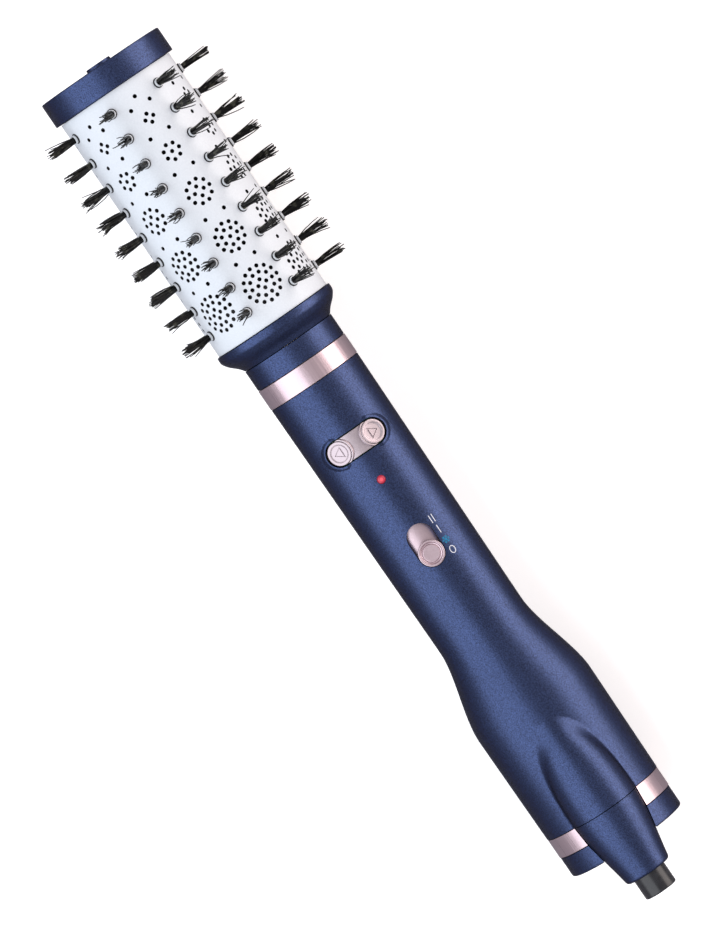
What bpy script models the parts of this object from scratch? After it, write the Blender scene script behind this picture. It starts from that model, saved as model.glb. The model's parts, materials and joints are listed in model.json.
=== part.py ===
"""Rotating hot air brush: barrel with bristle rows, brush drive, heater, fan, controls, casings and swivel gland.

The brush lies along X with its tip at the origin, so a distance "along" from the tip is at x = -along. The controls
face +Z. Sizes are in metres.
"""

import math

import bmesh
import bpy
from mathutils import Matrix, Vector

GAP = 0.0003

# Brush head, which turns about X
CAP_RADIUS = 0.027
CAP_FACE = 0.0014
CAP_END = 0.0118
CAP_EDGE = 0.0008
CAP_WALL = 0.0022
CAP_PLUG_WALL = 0.002
CAP_PLUG_LENGTH = 0.0038
CAP_RIB_COUNT = 4
CAP_RIB_HALF = 0.0007
TIP_RADIUS = 0.00535
BARREL_RADIUS = 0.025
BARREL_WALL = 0.0012
BARREL_START = CAP_END + GAP
BARREL_END = 0.1196
SHAFT_RADIUS = 0.003
SHAFT_START = 0.005
SHAFT_END = 0.181
HUB_START = 0.1055
HUB_END = 0.1135
HUB_WALL = 0.002
HUB_BOSS_WALL = 0.0022
HUB_SPOKE_COUNT = 4
HUB_SPOKE_HALF = 0.0009

# Bristles: rows round the barrel, tufts along each row
ROW_COUNT = 7
ROW_PHASE = math.radians(-14.8)
TUFT_COUNT = 9
TUFT_FIRST = 0.0194
TUFT_PITCH = 0.01145
TUFT_REACH = 0.0395
BOSS_RADIUS = 0.00155
TUFT_RADIUS = 0.0019
TUFT_ROOT = 0.0222
STRIP_LOW = 0.0216
STRIP_HIGH = 0.0232
STRIP_HALF_WIDTH = 0.0033
STRIP_START = 0.016
STRIP_END = 0.115
AIR_HOLES_ALONG = (0.0286, 0.0440, 0.0624, 0.0833, 0.1051)
AIR_HOLE_RADIUS = 0.0013

# Handle, which stays still
NECK_BORE = 0.017
COLLAR_START = 0.1199
COLLAR_END = 0.1299
COLLAR_RADIUS = 0.026
DUCT_WALL = 0.0015
NECK_RADIUS = 0.01995
NECK_END = 0.1390
SPIDER_START = COLLAR_END + 0.0011
SPIDER_END = SPIDER_START + 0.004
SPIDER_WALL = 0.0015
SPIDER_ARM_COUNT = 3
SPIDER_ARM_HALF = 0.0008
FRONT_BUSH_START = COLLAR_END + 0.0006
FRONT_BUSH_LENGTH = 0.005
FRONT_BUSH_RADIUS = SHAFT_RADIUS + GAP + 0.0017
UPPER_TRIM_END = 0.1480
TRIM_PROUD = 0.0001
CASING_START = UPPER_TRIM_END + GAP
CASING_END = 0.3454
CASING_WALL = 0.002
GRIP_START_RADIUS = 0.01995
GRIP_END_RADIUS = 0.0190
FLARE_START = 0.2638
FLARE_END = 0.2978
BULGE_RADIUS = 0.02595
BULGE_END_RADIUS = 0.0255
LOWER_TRIM_END = 0.3539
LOWER_TRIM_RADIUS = 0.0254
LOWER_TRIM_BORE = 0.0222
TAIL_END = 0.3630
TAIL_RADIUS = 0.0252
TAIL_EDGE = 0.0006
TAIL_BORE = 0.0205
GRILLE_START = TAIL_END - 0.004
GRILLE_END = TAIL_END - 0.0018
GRILLE_RIM = 0.002
SLOT_COUNT = 7
SLOT_PITCH = 0.0032
SLOT_HALF = 0.0008

# Cord boot and gland, on an axis of their own in front of the main one
BOOT_OFFSET = 0.020
BOOT_SEAT_CLEARANCE = 0.0004
FAIRING_RADIUS = 0.0142
FAIRING_LENGTH = 0.037
FAIRING_BACK = 0.341
BOOT_END = 0.3754
# The boot's outside as (along, radius)
BOOT_SHAPE = (
    (CASING_END + GAP, 0.0141),
    (LOWER_TRIM_END, 0.0135),
    (0.3628, 0.0120),
    (0.3693, 0.0107),
    (0.3742, 0.0098),
    (BOOT_END, 0.0090),
)
NOTCH_CLEARANCE = 0.0004
GLAND_RADIUS = 0.00685
GLAND_FLANGE_RADIUS = 0.009
GLAND_FLANGE_START = 0.3625
GLAND_FLANGE_END = 0.3662
GLAND_END = 0.3843
CORD_HOLE_RADIUS = 0.0036

# Controls
BUTTON_ALONG = 0.1759
BUTTON_SIDE = 0.0077
BUTTON_RADIUS = 0.00485
BUTTON_SURFACE = 0.01972
BUTTON_FOOT = 0.0161
BUTTON_BACK = 0.0174
BUTTON_TOP = 0.0201
BUTTON_DISH = 0.0197
BUTTON_RIM = 0.0007
PLATE_HALF_LENGTH = 0.0051
PLATE_HALF_WIDTH = 0.006
PLATE_RADIUS = 0.0195
TACT_SIDE = 0.0061
TACT_HALF = 0.0025
TACT_TOP = 0.0134
PILL_RADIUS = 0.0054
LENS_ALONG = 0.1930
LENS_RADIUS = 0.00145
LENS_FLANGE = 0.0006
LED_RADIUS = 0.0012
LED_TOP = 0.0156
SWITCH_OFF = 0.2272
SWITCH_TRAVEL = 0.0072
SWITCH_RADIUS = 0.0052
STEM_RADIUS = 0.0010
SLIDE_RADIUS = 0.0168
SLIDE_WALL = 0.001
SLIDE_MARGIN = 0.0006
KNOB_FOOT = 0.0131
KNOB_BACK = 0.0179
KNOB_TOP = 0.0206
SWITCH_BODY_HALF = 0.004
SWITCH_BODY_TOP = 0.0142
BOARD_START = 0.170
BOARD_END = 0.237
BOARD_HALF_WIDTH = 0.0095
BOARD_LOW = 0.0102
BOARD_HIGH = 0.0116

# Brush drive: a reverted train of two equal pairs
GEAR_MODULE = 0.0005
WHEEL_TEETH = 24
PINION_TEETH = 8
GEAR_CENTRES = GEAR_MODULE * (WHEEL_TEETH + PINION_TEETH) / 2
FIRST_PAIR = (0.1835, 0.1875)
SECOND_PAIR = (0.1745, 0.1790)
IDLER_PIN_RADIUS = 0.0007
MOTOR_SHAFT_RADIUS = 0.0006
HOUSING_START = 0.170
HOUSING_END = 0.189
HOUSING_RADIUS = 0.0167
HOUSING_TOP = 0.0096
HOUSING_WALL = 0.0015
HOUSING_FACE = 0.002
REAR_BUSH_RADIUS = SHAFT_RADIUS + GAP + 0.002
PLATE_START = HOUSING_END + GAP
PLATE_END = 0.1908
BRUSH_MOTOR_RADIUS = 0.009
BRUSH_MOTOR_END = 0.213

# Heater and fan
SHIELD_START = 0.136
SHIELD_END = 0.168
HEATER_START = 0.1375
HEATER_END = 0.1655
HEATER_REACH = 0.0133
HEATER_TUBE_BORE = 0.0036
HEATER_TUBE_RADIUS = 0.0046
SHEET_HALF = 0.0005
WIRE_HALF = 0.0004
COIL_MARGIN = 0.002
COIL_TURNS = 6
FAN_MOTOR_RADIUS = 0.012
FAN_MOTOR_START = 0.286
FAN_MOTOR_END = 0.316
FAN_SHAFT_RADIUS = 0.001
FAN_SHAFT_DEPTH = 0.014
FAN_SHROUD_END = 0.334
FAN_SHROUD_BORE = 0.0204
FAN_SHROUD_WALL = 0.0018
FAN_CLAMP_WALL = 0.0016
FAN_ARM_COUNT = 3
FAN_ARM_HALF = 0.001
IMPELLER_START = 0.3190
IMPELLER_END = 0.3285
IMPELLER_HUB = 0.0075
BLADE_COUNT = 7
BLADE_PITCH = math.radians(42)
BLADE_HALF = 0.0052

SCREWS_ALONG = (0.246, 0.272)
SCREW_RADIUS = 0.0011
SCREW_HEAD_RADIUS = 0.0024
SCREW_SEAT = -0.008
SCREW_HEAD_HEIGHT = 0.0016
SCREW_TIP = 0.0085
FRONT_POST_RADIUS = 0.003
REAR_POST_RADIUS = 0.0045
POST_OVERLAP = 0.0008

# Colour, roughness, metallic
BLUE = ((0.030, 0.035, 0.110), 0.35, 0.6)
ROSE_GOLD = ((0.80, 0.52, 0.45), 0.30, 1.0)
PEARL = ((0.80, 0.83, 0.90), 0.35, 0.1)
NYLON = ((0.015, 0.015, 0.02), 0.45, 0.0)
BLACK = ((0.012, 0.012, 0.014), 0.25, 0.0)
GREY = ((0.12, 0.12, 0.13), 0.50, 0.0)
STEEL = ((0.55, 0.56, 0.58), 0.30, 1.0)
BRASS = ((0.70, 0.52, 0.22), 0.30, 1.0)
BOARD_GREEN = ((0.03, 0.16, 0.07), 0.50, 0.0)
MICA = ((0.52, 0.45, 0.33), 0.60, 0.0)
RED = ((0.80, 0.05, 0.12), 0.20, 0.0)
WHITE = ((0.75, 0.75, 0.72), 0.45, 0.0)


# ---- Mesh helpers ----


def make_material(name, finish):
    colour, roughness, metallic = finish
    material = bpy.data.materials.new(name)
    material.use_nodes = True
    shader = material.node_tree.nodes["Principled BSDF"]
    shader.inputs["Base Color"].default_value = (*colour, 1.0)
    shader.inputs["Roughness"].default_value = roughness
    shader.inputs["Metallic"].default_value = metallic
    return material


def add_object(name, finish, points, faces, origin=(0, 0, 0)):
    """Adds a closed mesh whose points are given in the world, with its origin where asked."""
    mesh = bpy.data.meshes.new(name)
    shift = Vector(origin)
    mesh.from_pydata([Vector(p) - shift for p in points], [], faces)
    work = bmesh.new()
    work.from_mesh(mesh)
    bmesh.ops.recalc_face_normals(work, faces=work.faces)
    work.to_mesh(mesh)
    work.free()
    mesh.shade_smooth()
    mesh.set_sharp_from_angle(angle=math.radians(30))
    obj = bpy.data.objects.new(name, mesh)
    obj.location = shift
    bpy.context.scene.collection.objects.link(obj)
    if finish:
        mesh.materials.append(make_material(name, finish))
    else:
        obj.hide_render = True
        obj.display_type = "WIRE"
    return obj


def circle(radius, sides, start=0.0):
    return [
        (radius * math.cos(start + math.tau * i / sides), radius * math.sin(start + math.tau * i / sides))
        for i in range(sides)
    ]


def turned_mesh(outline, sides, start=0.0):
    """Points and faces of a solid turned about Z, from the (height, radius) points round its section."""
    points = []
    rings = []
    for height, radius in outline:
        if radius == 0:
            rings.append([len(points)])
            points.append((0.0, 0.0, height))
        else:
            rings.append(list(range(len(points), len(points) + sides)))
            points += [(x, y, height) for x, y in circle(radius, sides, start)]
    faces = []
    for first, second in zip(rings, rings[1:] + rings[:1]):
        for i in range(sides):
            j = (i + 1) % sides
            corners = [first[i % len(first)], first[j % len(first)], second[j % len(second)], second[i % len(second)]]
            corners = list(dict.fromkeys(corners))
            if len(corners) > 2:
                faces.append(corners)
    return points, faces


def along_x(y=0.0, z=0.0):
    """The placement that turns a height into a distance from the tip, on an axis through y and z."""
    return Matrix(((0, 0, -1, 0), (1, 0, 0, y), (0, -1, 0, z), (0, 0, 0, 1)))


def placed(points, placement):
    return [placement @ Vector(p) for p in points]


def turned(name, finish, outline, sides=32, placement=None, origin=(0, 0, 0), start=0.0):
    points, faces = turned_mesh(outline, sides, start)
    return add_object(name, finish, placed(points, placement or along_x()), faces, origin)


def tube(low, high, inner, outer):
    return [(low, outer), (high, outer), (high, inner), (low, inner)]


def rod(low, high, radius):
    return [(low, 0.0), (low, radius), (high, radius), (high, 0.0)]


def extruded_mesh(outline, low, high):
    count = len(outline)
    points = [(x, y, z) for z in (low, high) for x, y in outline]
    faces = [list(range(count)), list(range(count, 2 * count))]
    faces += [[i, (i + 1) % count, (i + 1) % count + count, i + count] for i in range(count)]
    return points, faces


def extruded(name, finish, outline, low, high, placement=None, origin=(0, 0, 0)):
    """A prism on an outline in x and y, from z = low to z = high before it is placed."""
    points, faces = extruded_mesh(outline, low, high)
    return add_object(name, finish, placed(points, placement or Matrix()), faces, origin)


def block(name, finish, low, high):
    """A box between two corners given as (along, y, z)."""
    outline = [(-low[0], low[1]), (-high[0], low[1]), (-high[0], high[1]), (-low[0], high[1])]
    return extruded(name, finish, outline, low[2], high[2])


def obround(first, second, radius, steps=8):
    """A slot outline between two centres on X or on Y."""
    across = Vector(second) - Vector(first)
    heading = math.atan2(across.y, across.x)
    points = []
    for centre, turn in ((second, -math.pi / 2), (first, math.pi / 2)):
        for i in range(steps + 1):
            angle = heading + turn + math.pi * i / steps
            points.append((centre[0] + radius * math.cos(angle), centre[1] + radius * math.sin(angle)))
    return points


def combine(target, operation, *others):
    for other in others:
        modifier = target.modifiers.new(f"{operation.title()} {other.name}", "BOOLEAN")
        modifier.operation = operation
        modifier.solver = "EXACT"
        modifier.object = other
        other.hide_render = True
        other.display_type = "WIRE"
    return target


def joined_mesh(meshes):
    points = []
    faces = []
    for more_points, more_faces in meshes:
        shift = len(points)
        points += more_points
        faces += [[index + shift for index in face] for face in more_faces]
    return points, faces


def radial(angle):
    """A placement whose Z points outwards from the main axis, this far round from +Z towards -Y."""
    return Matrix.Rotation(angle, 4, "X")


# ---- Brush head ----


def row_angle(row):
    return ROW_PHASE + math.tau * row / ROW_COUNT


def tuft_places():
    return [TUFT_FIRST + TUFT_PITCH * i for i in range(TUFT_COUNT)]


def make_tip_cap():
    outline = [(0.0, 0.0), (0.0, TIP_RADIUS), (CAP_FACE - GAP, TIP_RADIUS)]
    outline += [(CAP_FACE - GAP, SHAFT_RADIUS), (SHAFT_START - GAP, SHAFT_RADIUS), (SHAFT_START - GAP, 0.0)]
    turned("tip_cap", BLUE, outline, 20)


def make_end_cap():
    plug = BARREL_RADIUS - BARREL_WALL - GAP
    face = CAP_FACE + CAP_WALL
    depth = CAP_END + CAP_PLUG_LENGTH
    bore = SHAFT_RADIUS + GAP
    outline = [(CAP_FACE, bore), (CAP_FACE, CAP_RADIUS - CAP_EDGE), (CAP_FACE + CAP_EDGE, CAP_RADIUS)]
    outline += [(CAP_END, CAP_RADIUS), (CAP_END, plug), (depth, plug), (depth, plug - CAP_PLUG_WALL)]
    outline += [(face, plug - CAP_PLUG_WALL), (face, bore + CAP_PLUG_WALL)]
    outline += [(CAP_END, bore + CAP_PLUG_WALL), (CAP_END, bore)]
    cap = turned("end_cap", BLUE, outline, 32)
    reach = plug - 0.0012
    inner = bore + 0.001
    half = CAP_RIB_HALF
    for i in range(CAP_RIB_COUNT):
        angle = math.tau * (i + 0.5) / CAP_RIB_COUNT
        points, faces = extruded_mesh([(-half, inner), (half, inner), (half, reach), (-half, reach)], 0, 1)
        points = [(x, y, face - 0.001 + z * (CAP_END - face)) for x, y, z in points]
        rib = add_object(f"cap_rib_{i}", None, placed(points, Matrix.Rotation(angle, 4, "X") @ along_x()), faces)
        combine(cap, "UNION", rib)


def hole_mesh(along, angle, radius, sides):
    points, faces = extruded_mesh(circle(radius, sides, math.pi / sides), 0.020, 0.028)
    return placed(points, radial(angle) @ Matrix.Translation((-along, 0, 0))), faces


def make_barrel():
    inner = BARREL_RADIUS - BARREL_WALL
    barrel = turned("barrel", PEARL, tube(BARREL_START, BARREL_END, inner, BARREL_RADIUS), 42)
    holes = []
    for row in range(ROW_COUNT):
        middle = row_angle(row) + math.pi / ROW_COUNT
        holes += [hole_mesh(along, row_angle(row), BOSS_RADIUS + GAP + 0.0001, 6) for along in tuft_places()]
        holes += [hole_mesh(along, middle, AIR_HOLE_RADIUS, 6) for along in AIR_HOLES_ALONG]
    combine(barrel, "DIFFERENCE", add_object("barrel_holes", None, *joined_mesh(holes)))


def make_bristle_row(row):
    outline = [(-STRIP_START, -STRIP_HALF_WIDTH), (-STRIP_END, -STRIP_HALF_WIDTH)]
    outline += [(-STRIP_END, STRIP_HALF_WIDTH), (-STRIP_START, STRIP_HALF_WIDTH)]
    place = radial(row_angle(row))
    strip = extruded(f"bristle_row_{row + 1}", NYLON, outline, STRIP_LOW, STRIP_HIGH, place)
    tufts = []
    for along in tuft_places():
        section = [(TUFT_ROOT, 0.0), (TUFT_ROOT, BOSS_RADIUS), (TUFT_REACH, TUFT_RADIUS), (TUFT_REACH, 0.0)]
        points, faces = turned_mesh(section, 6)
        tufts.append((placed(points, place @ Matrix.Translation((-along, 0, 0))), faces))
    combine(strip, "UNION", add_object(f"tufts_{row + 1}", None, *joined_mesh(tufts)))


def make_drive_hub():
    outer = STRIP_LOW - GAP
    bore = SHAFT_RADIUS + GAP
    hub = turned("drive_hub", GREY, tube(HUB_START, HUB_END, outer - HUB_WALL, outer), 21)
    boss = turned("hub_boss", None, tube(HUB_START, HUB_END, bore, bore + HUB_BOSS_WALL), 12)
    combine(hub, "UNION", boss)
    half = HUB_SPOKE_HALF
    for i in range(HUB_SPOKE_COUNT):
        angle = math.tau * i / HUB_SPOKE_COUNT
        outline = [(-HUB_START - 0.001, -half), (-HUB_END + 0.001, -half)]
        outline += [(-HUB_END + 0.001, half), (-HUB_START - 0.001, half)]
        low, high = bore + HUB_BOSS_WALL - 0.001, outer - HUB_WALL + 0.001
        spoke = extruded(f"hub_spoke_{i}", None, outline, low, high, radial(angle))
        combine(hub, "UNION", spoke)


def make_drive_shaft():
    turned("drive_shaft", STEEL, rod(SHAFT_START, SHAFT_END, SHAFT_RADIUS), 16)


# ---- Brush drive ----


def gear_outline(teeth, root_half, tip_half, start=0.0):
    """Straight-sided teeth, with the first one centred on the start angle and plenty of backlash."""
    pitch = math.tau / teeth
    root = GEAR_MODULE * (teeth / 2 - 1.15)
    tip = GEAR_MODULE * (teeth / 2 + 0.9)
    corners = ((root, -root_half), (tip, -tip_half), (tip, tip_half), (root, root_half))
    return [
        (radius * math.cos(start + (i + share) * pitch), radius * math.sin(start + (i + share) * pitch))
        for i in range(teeth)
        for radius, share in corners
    ]


def wheel_outline(start=0.0):
    return gear_outline(WHEEL_TEETH, 0.26, 0.13, start)


def pinion_outline(start=0.0):
    return gear_outline(PINION_TEETH, 0.30, 0.10, start)


def make_output_gear():
    low, high = SECOND_PAIR
    gear = extruded("output_gear", WHITE, wheel_outline(math.pi / 2), low, high, along_x())
    bore = turned("output_gear_bore", None, rod(low - 0.001, high + 0.001, SHAFT_RADIUS + GAP), 16)
    combine(gear, "DIFFERENCE", bore)


def make_idler_gear():
    """A wheel and a pinion in one, below the main axis, in mesh at rest on both sides."""
    axis = (0, 0, -GEAR_CENTRES)
    place = along_x(z=-GEAR_CENTRES)
    up = -math.pi / 2
    gear = extruded("idler_gear", WHITE, wheel_outline(up), *FIRST_PAIR, place, axis)
    start = SECOND_PAIR[0] - GAP
    pinion_start = up + math.pi / PINION_TEETH
    pinion = extruded("idler_pinion", None, pinion_outline(pinion_start), start, FIRST_PAIR[0] + 0.001, place)
    bore = turned("idler_bore", None, rod(start - 0.001, FIRST_PAIR[1] + 0.001, IDLER_PIN_RADIUS + GAP), 10, place)
    combine(gear, "UNION", pinion)
    combine(gear, "DIFFERENCE", bore)


def make_idler_pin():
    place = along_x(z=-GEAR_CENTRES)
    turned("idler_pin", STEEL, rod(HOUSING_START + GAP, PLATE_END - GAP, IDLER_PIN_RADIUS), 10, place)


def make_motor_pinion():
    start = math.pi / 2 + math.pi / PINION_TEETH
    low, high = FIRST_PAIR
    pinion = extruded("motor_pinion", BRASS, pinion_outline(start), low, high, along_x())
    bore = turned("pinion_bore", None, rod(low - 0.001, high + 0.001, MOTOR_SHAFT_RADIUS + GAP), 10)
    combine(pinion, "DIFFERENCE", bore)


def make_motor_shaft():
    turned("motor_shaft", STEEL, rod(SHAFT_END + 0.0015, BRUSH_MOTOR_END - 0.005, MOTOR_SHAFT_RADIUS), 10)


def make_gearbox_housing():
    bush = REAR_BUSH_RADIUS + GAP
    wall = HOUSING_START + HOUSING_FACE
    inner = HOUSING_RADIUS - HOUSING_WALL
    outline = [(HOUSING_START, bush), (HOUSING_START, HOUSING_RADIUS), (HOUSING_END, HOUSING_RADIUS)]
    outline += [(HOUSING_END, inner), (wall, inner), (wall, bush)]
    housing = turned("gearbox_housing", GREY, outline, 28)
    top = block("housing_top", None, (HOUSING_START - 0.001, -0.02, HOUSING_TOP), (HOUSING_END + 0.001, 0.02, 0.03))
    place = along_x(z=-GEAR_CENTRES)
    pin = IDLER_PIN_RADIUS + GAP
    pin_hole = turned("housing_pin_hole", None, rod(HOUSING_START - 0.001, wall + 0.001, pin), 10, place)
    combine(housing, "DIFFERENCE", top, pin_hole)


def make_motor_plate():
    outline = tube(PLATE_START, PLATE_END, MOTOR_SHAFT_RADIUS + GAP, HOUSING_RADIUS)
    plate = turned("motor_plate", STEEL, outline, 28)
    top = block("plate_top", None, (PLATE_START - 0.001, -0.02, HOUSING_TOP), (PLATE_END + 0.001, 0.02, 0.03))
    place = along_x(z=-GEAR_CENTRES)
    pin = IDLER_PIN_RADIUS + GAP
    pin_hole = turned("plate_pin_hole", None, rod(PLATE_START - 0.001, PLATE_END + 0.001, pin), 10, place)
    combine(plate, "DIFFERENCE", top, pin_hole)


def make_rear_bush():
    outline = tube(HOUSING_START - 0.001, HOUSING_START + 0.003, SHAFT_RADIUS + GAP, REAR_BUSH_RADIUS)
    turned("rear_bush", BRASS, outline, 16)


def make_brush_motor():
    start = PLATE_END + GAP
    bore = MOTOR_SHAFT_RADIUS + GAP
    depth = BRUSH_MOTOR_END - 0.004
    outline = [(start, bore), (start, BRUSH_MOTOR_RADIUS), (BRUSH_MOTOR_END, BRUSH_MOTOR_RADIUS)]
    outline += [(BRUSH_MOTOR_END, 0.0), (depth, 0.0), (depth, bore)]
    turned("brush_motor", STEEL, outline, 24)


# ---- Neck and heater ----


def make_barrel_collar():
    """A double-walled flare: the skin outside, the air duct inside."""
    groove = COLLAR_END - 0.003
    outline = [(COLLAR_START, COLLAR_RADIUS), (COLLAR_START + 0.003, COLLAR_RADIUS + 0.00015)]
    outline += [(COLLAR_START + 0.0055, 0.0243), (COLLAR_START + 0.008, 0.0214), (COLLAR_END, NECK_RADIUS - 0.0001)]
    outline += [(COLLAR_END, NECK_BORE), (COLLAR_START, NECK_BORE), (COLLAR_START, NECK_BORE + DUCT_WALL)]
    outline += [(groove, NECK_BORE + DUCT_WALL), (COLLAR_START + 0.003, COLLAR_RADIUS - 0.0025)]
    outline += [(COLLAR_START, COLLAR_RADIUS - 0.002)]
    turned("barrel_collar", BLUE, outline, 28)


def make_neck_sleeve():
    turned("neck_sleeve", BLUE, tube(COLLAR_END + GAP, NECK_END, NECK_BORE, NECK_RADIUS), 32)


def make_upper_trim_ring():
    outline = tube(NECK_END + GAP, UPPER_TRIM_END, NECK_BORE, NECK_RADIUS + TRIM_PROUD)
    turned("upper_trim_ring", ROSE_GOLD, outline, 32)


def make_bearing_spider():
    low, high = SPIDER_START, SPIDER_END
    outer = NECK_BORE - GAP
    hub = FRONT_BUSH_RADIUS + GAP
    spider = turned("bearing_spider", GREY, tube(low, high, outer - SPIDER_WALL, outer), 21)
    combine(spider, "UNION", turned("spider_hub", None, tube(low, high, hub, hub + SPIDER_WALL), 12))
    half = SPIDER_ARM_HALF
    for i in range(SPIDER_ARM_COUNT):
        angle = math.tau * i / SPIDER_ARM_COUNT
        outline = [(-low - 0.0005, -half), (-high + 0.0005, -half), (-high + 0.0005, half), (-low - 0.0005, half)]
        arm = extruded(f"spider_arm_{i}", None, outline, hub + 0.0008, outer - 0.0008, radial(angle))
        combine(spider, "UNION", arm)


def make_front_bush():
    end = FRONT_BUSH_START + FRONT_BUSH_LENGTH
    turned("front_bush", BRASS, tube(FRONT_BUSH_START, end, SHAFT_RADIUS + GAP, FRONT_BUSH_RADIUS), 16)


def make_heat_shield():
    turned("heat_shield", MICA, tube(SHIELD_START, SHIELD_END, NECK_BORE - 0.0008, NECK_BORE - GAP), 28)


def make_heater_frame():
    """Two crossed sheets on a tube that clears the drive shaft."""
    frame = turned("heater_frame", MICA, tube(HEATER_START, HEATER_END, HEATER_TUBE_BORE, HEATER_TUBE_RADIUS), 14)
    bore = turned("heater_bore", None, rod(HEATER_START - 0.001, HEATER_END + 0.001, HEATER_TUBE_BORE), 14)
    reach = HEATER_REACH
    for i, (y, z) in enumerate(((reach, SHEET_HALF), (SHEET_HALF, reach))):
        sheet = block(f"heater_sheet_{i}", None, (HEATER_START, -y, -z), (HEATER_END, y, z))
        combine(frame, "UNION", sheet)
    combine(frame, "DIFFERENCE", bore)


def make_heater_coil():
    """Resistance wire wound round the crossed sheets, as a square-section tube along a helix."""
    steps = 8 * COIL_TURNS
    half = WIRE_HALF
    radius = HEATER_REACH + half + GAP
    start = HEATER_START + COIL_MARGIN
    length = HEATER_END - HEATER_START - 2 * COIL_MARGIN
    points = []
    for i in range(steps + 1):
        angle = math.tau * COIL_TURNS * i / steps
        along = start + length * i / steps
        for across, up in ((-half, -half), (half, -half), (half, half), (-half, half)):
            reach = radius + up
            points.append((-(along + across), reach * math.sin(angle), reach * math.cos(angle)))
    faces = [[0, 1, 2, 3], [4 * steps + i for i in range(4)]]
    for i in range(steps):
        faces += [[4 * i + j, 4 * i + (j + 1) % 4, 4 * i + 4 + (j + 1) % 4, 4 * i + 4 + j] for j in range(4)]
    add_object("heater_coil", STEEL, points, faces)


def make_thermal_cutout():
    block("thermal_cutout", BLACK, (HEATER_END + GAP, 0.0055, -0.004), (HEATER_END + 0.003, 0.0105, 0.004))


# ---- Casings ----


def body_radius(along):
    """The casing's outer radius, without the cord fairing."""
    if along < FLARE_START:
        share = (along - CASING_START) / (FLARE_START - CASING_START)
        return GRIP_START_RADIUS + share * (GRIP_END_RADIUS - GRIP_START_RADIUS)
    if along < FLARE_END:
        share = (along - FLARE_START) / (FLARE_END - FLARE_START)
        eased = 0.4 * share + 0.6 * share * share * (3 - 2 * share)
        return GRIP_END_RADIUS + eased * (BULGE_RADIUS - GRIP_END_RADIUS)
    share = (along - FLARE_END) / (CASING_END - FLARE_END)
    return BULGE_RADIUS + share * (BULGE_END_RADIUS - BULGE_RADIUS)


def fairing_reach(along, angle):
    """How far out the cord fairing's surface is at this angle from +Z, or 0 where it has none."""
    share = min(0.0, (along - FAIRING_BACK) / FAIRING_LENGTH)
    radius = FAIRING_RADIUS * math.sqrt(max(0.0, 1 - share * share))
    side = BOOT_OFFSET * math.sin(angle)
    if abs(side) >= radius:
        return 0.0
    return BOOT_OFFSET * math.cos(angle) + math.sqrt(radius * radius - side * side)


def shell_half(name, finish, stations, angles, facing, fairing):
    """Half of a tube, split along y, with its wall inside the outer surface. It is closed at both ends."""
    points = []
    count = len(angles)
    for along in stations:
        radii = [body_radius(along) for _ in angles]
        if fairing:
            radii = [max(radius, fairing_reach(along, angle)) for radius, angle in zip(radii, angles)]
        ring = [(radius, angle) for radius, angle in zip(radii, angles)]
        ring += [(radius - CASING_WALL, angle) for radius, angle in reversed(ring)]
        for radius, angle in ring:
            height = max(radius * math.cos(angle), GAP / 2)
            points.append((-along, radius * math.sin(angle), facing * height))
    size = 2 * count
    faces = []
    for row in range(len(stations) - 1):
        for i in range(size):
            j = (i + 1) % size
            faces.append([row * size + i, row * size + j, (row + 1) * size + j, (row + 1) * size + i])
    for base in (0, (len(stations) - 1) * size):
        faces += [[base + i, base + i + 1, base + size - 2 - i, base + size - 1 - i] for i in range(count - 1)]
    return add_object(name, finish, points, faces)


def flare_stations(count):
    return [FLARE_START + (FLARE_END - FLARE_START) * i / count for i in range(count + 1)]


def post_mesh(along, low, high, radius, sides=10):
    """A round post along Z, as points and faces."""
    points, faces = turned_mesh(rod(low, high, radius), sides, math.pi / sides)
    return placed(points, Matrix.Translation((-along, 0, 0))), faces


def make_front_casing():
    nose = [FAIRING_BACK - FAIRING_LENGTH * math.cos(math.radians(a)) for a in (20, 32, 45, 58, 72, 90)]
    stations = [CASING_START, *flare_stations(5), *nose, CASING_END]
    angles = [math.radians(a) for a in (-90, -75, -60, -46, -35, -32, -22, -11)]
    angles += [0.0] + [-a for a in reversed(angles)]
    casing = shell_half("front_casing", BLUE, stations, angles, 1, True)
    inner = [body_radius(along) - CASING_WALL for along in SCREWS_ALONG]
    posts = [post_mesh(a, GAP / 2, r + POST_OVERLAP, FRONT_POST_RADIUS) for a, r in zip(SCREWS_ALONG, inner)]
    combine(casing, "UNION", add_object("front_posts", None, *joined_mesh(posts)))
    side = BUTTON_SIDE
    pill = obround((-BUTTON_ALONG, -side), (-BUTTON_ALONG, side), PILL_RADIUS)
    slot = obround((-SWITCH_OFF, 0), (-SWITCH_OFF + SWITCH_TRAVEL, 0), SWITCH_RADIUS + GAP + 0.00005)
    holes = [post_mesh(along, -0.001, 0.009, SCREW_RADIUS + GAP, 8) for along in SCREWS_ALONG]
    holes += [extruded_mesh(pill, 0.010, 0.024), extruded_mesh(slot, 0.010, 0.024)]
    holes.append(post_mesh(LENS_ALONG, 0.010, 0.024, LENS_RADIUS + GAP, 12))
    combine(casing, "DIFFERENCE", add_object("front_openings", None, *joined_mesh(holes)))


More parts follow.
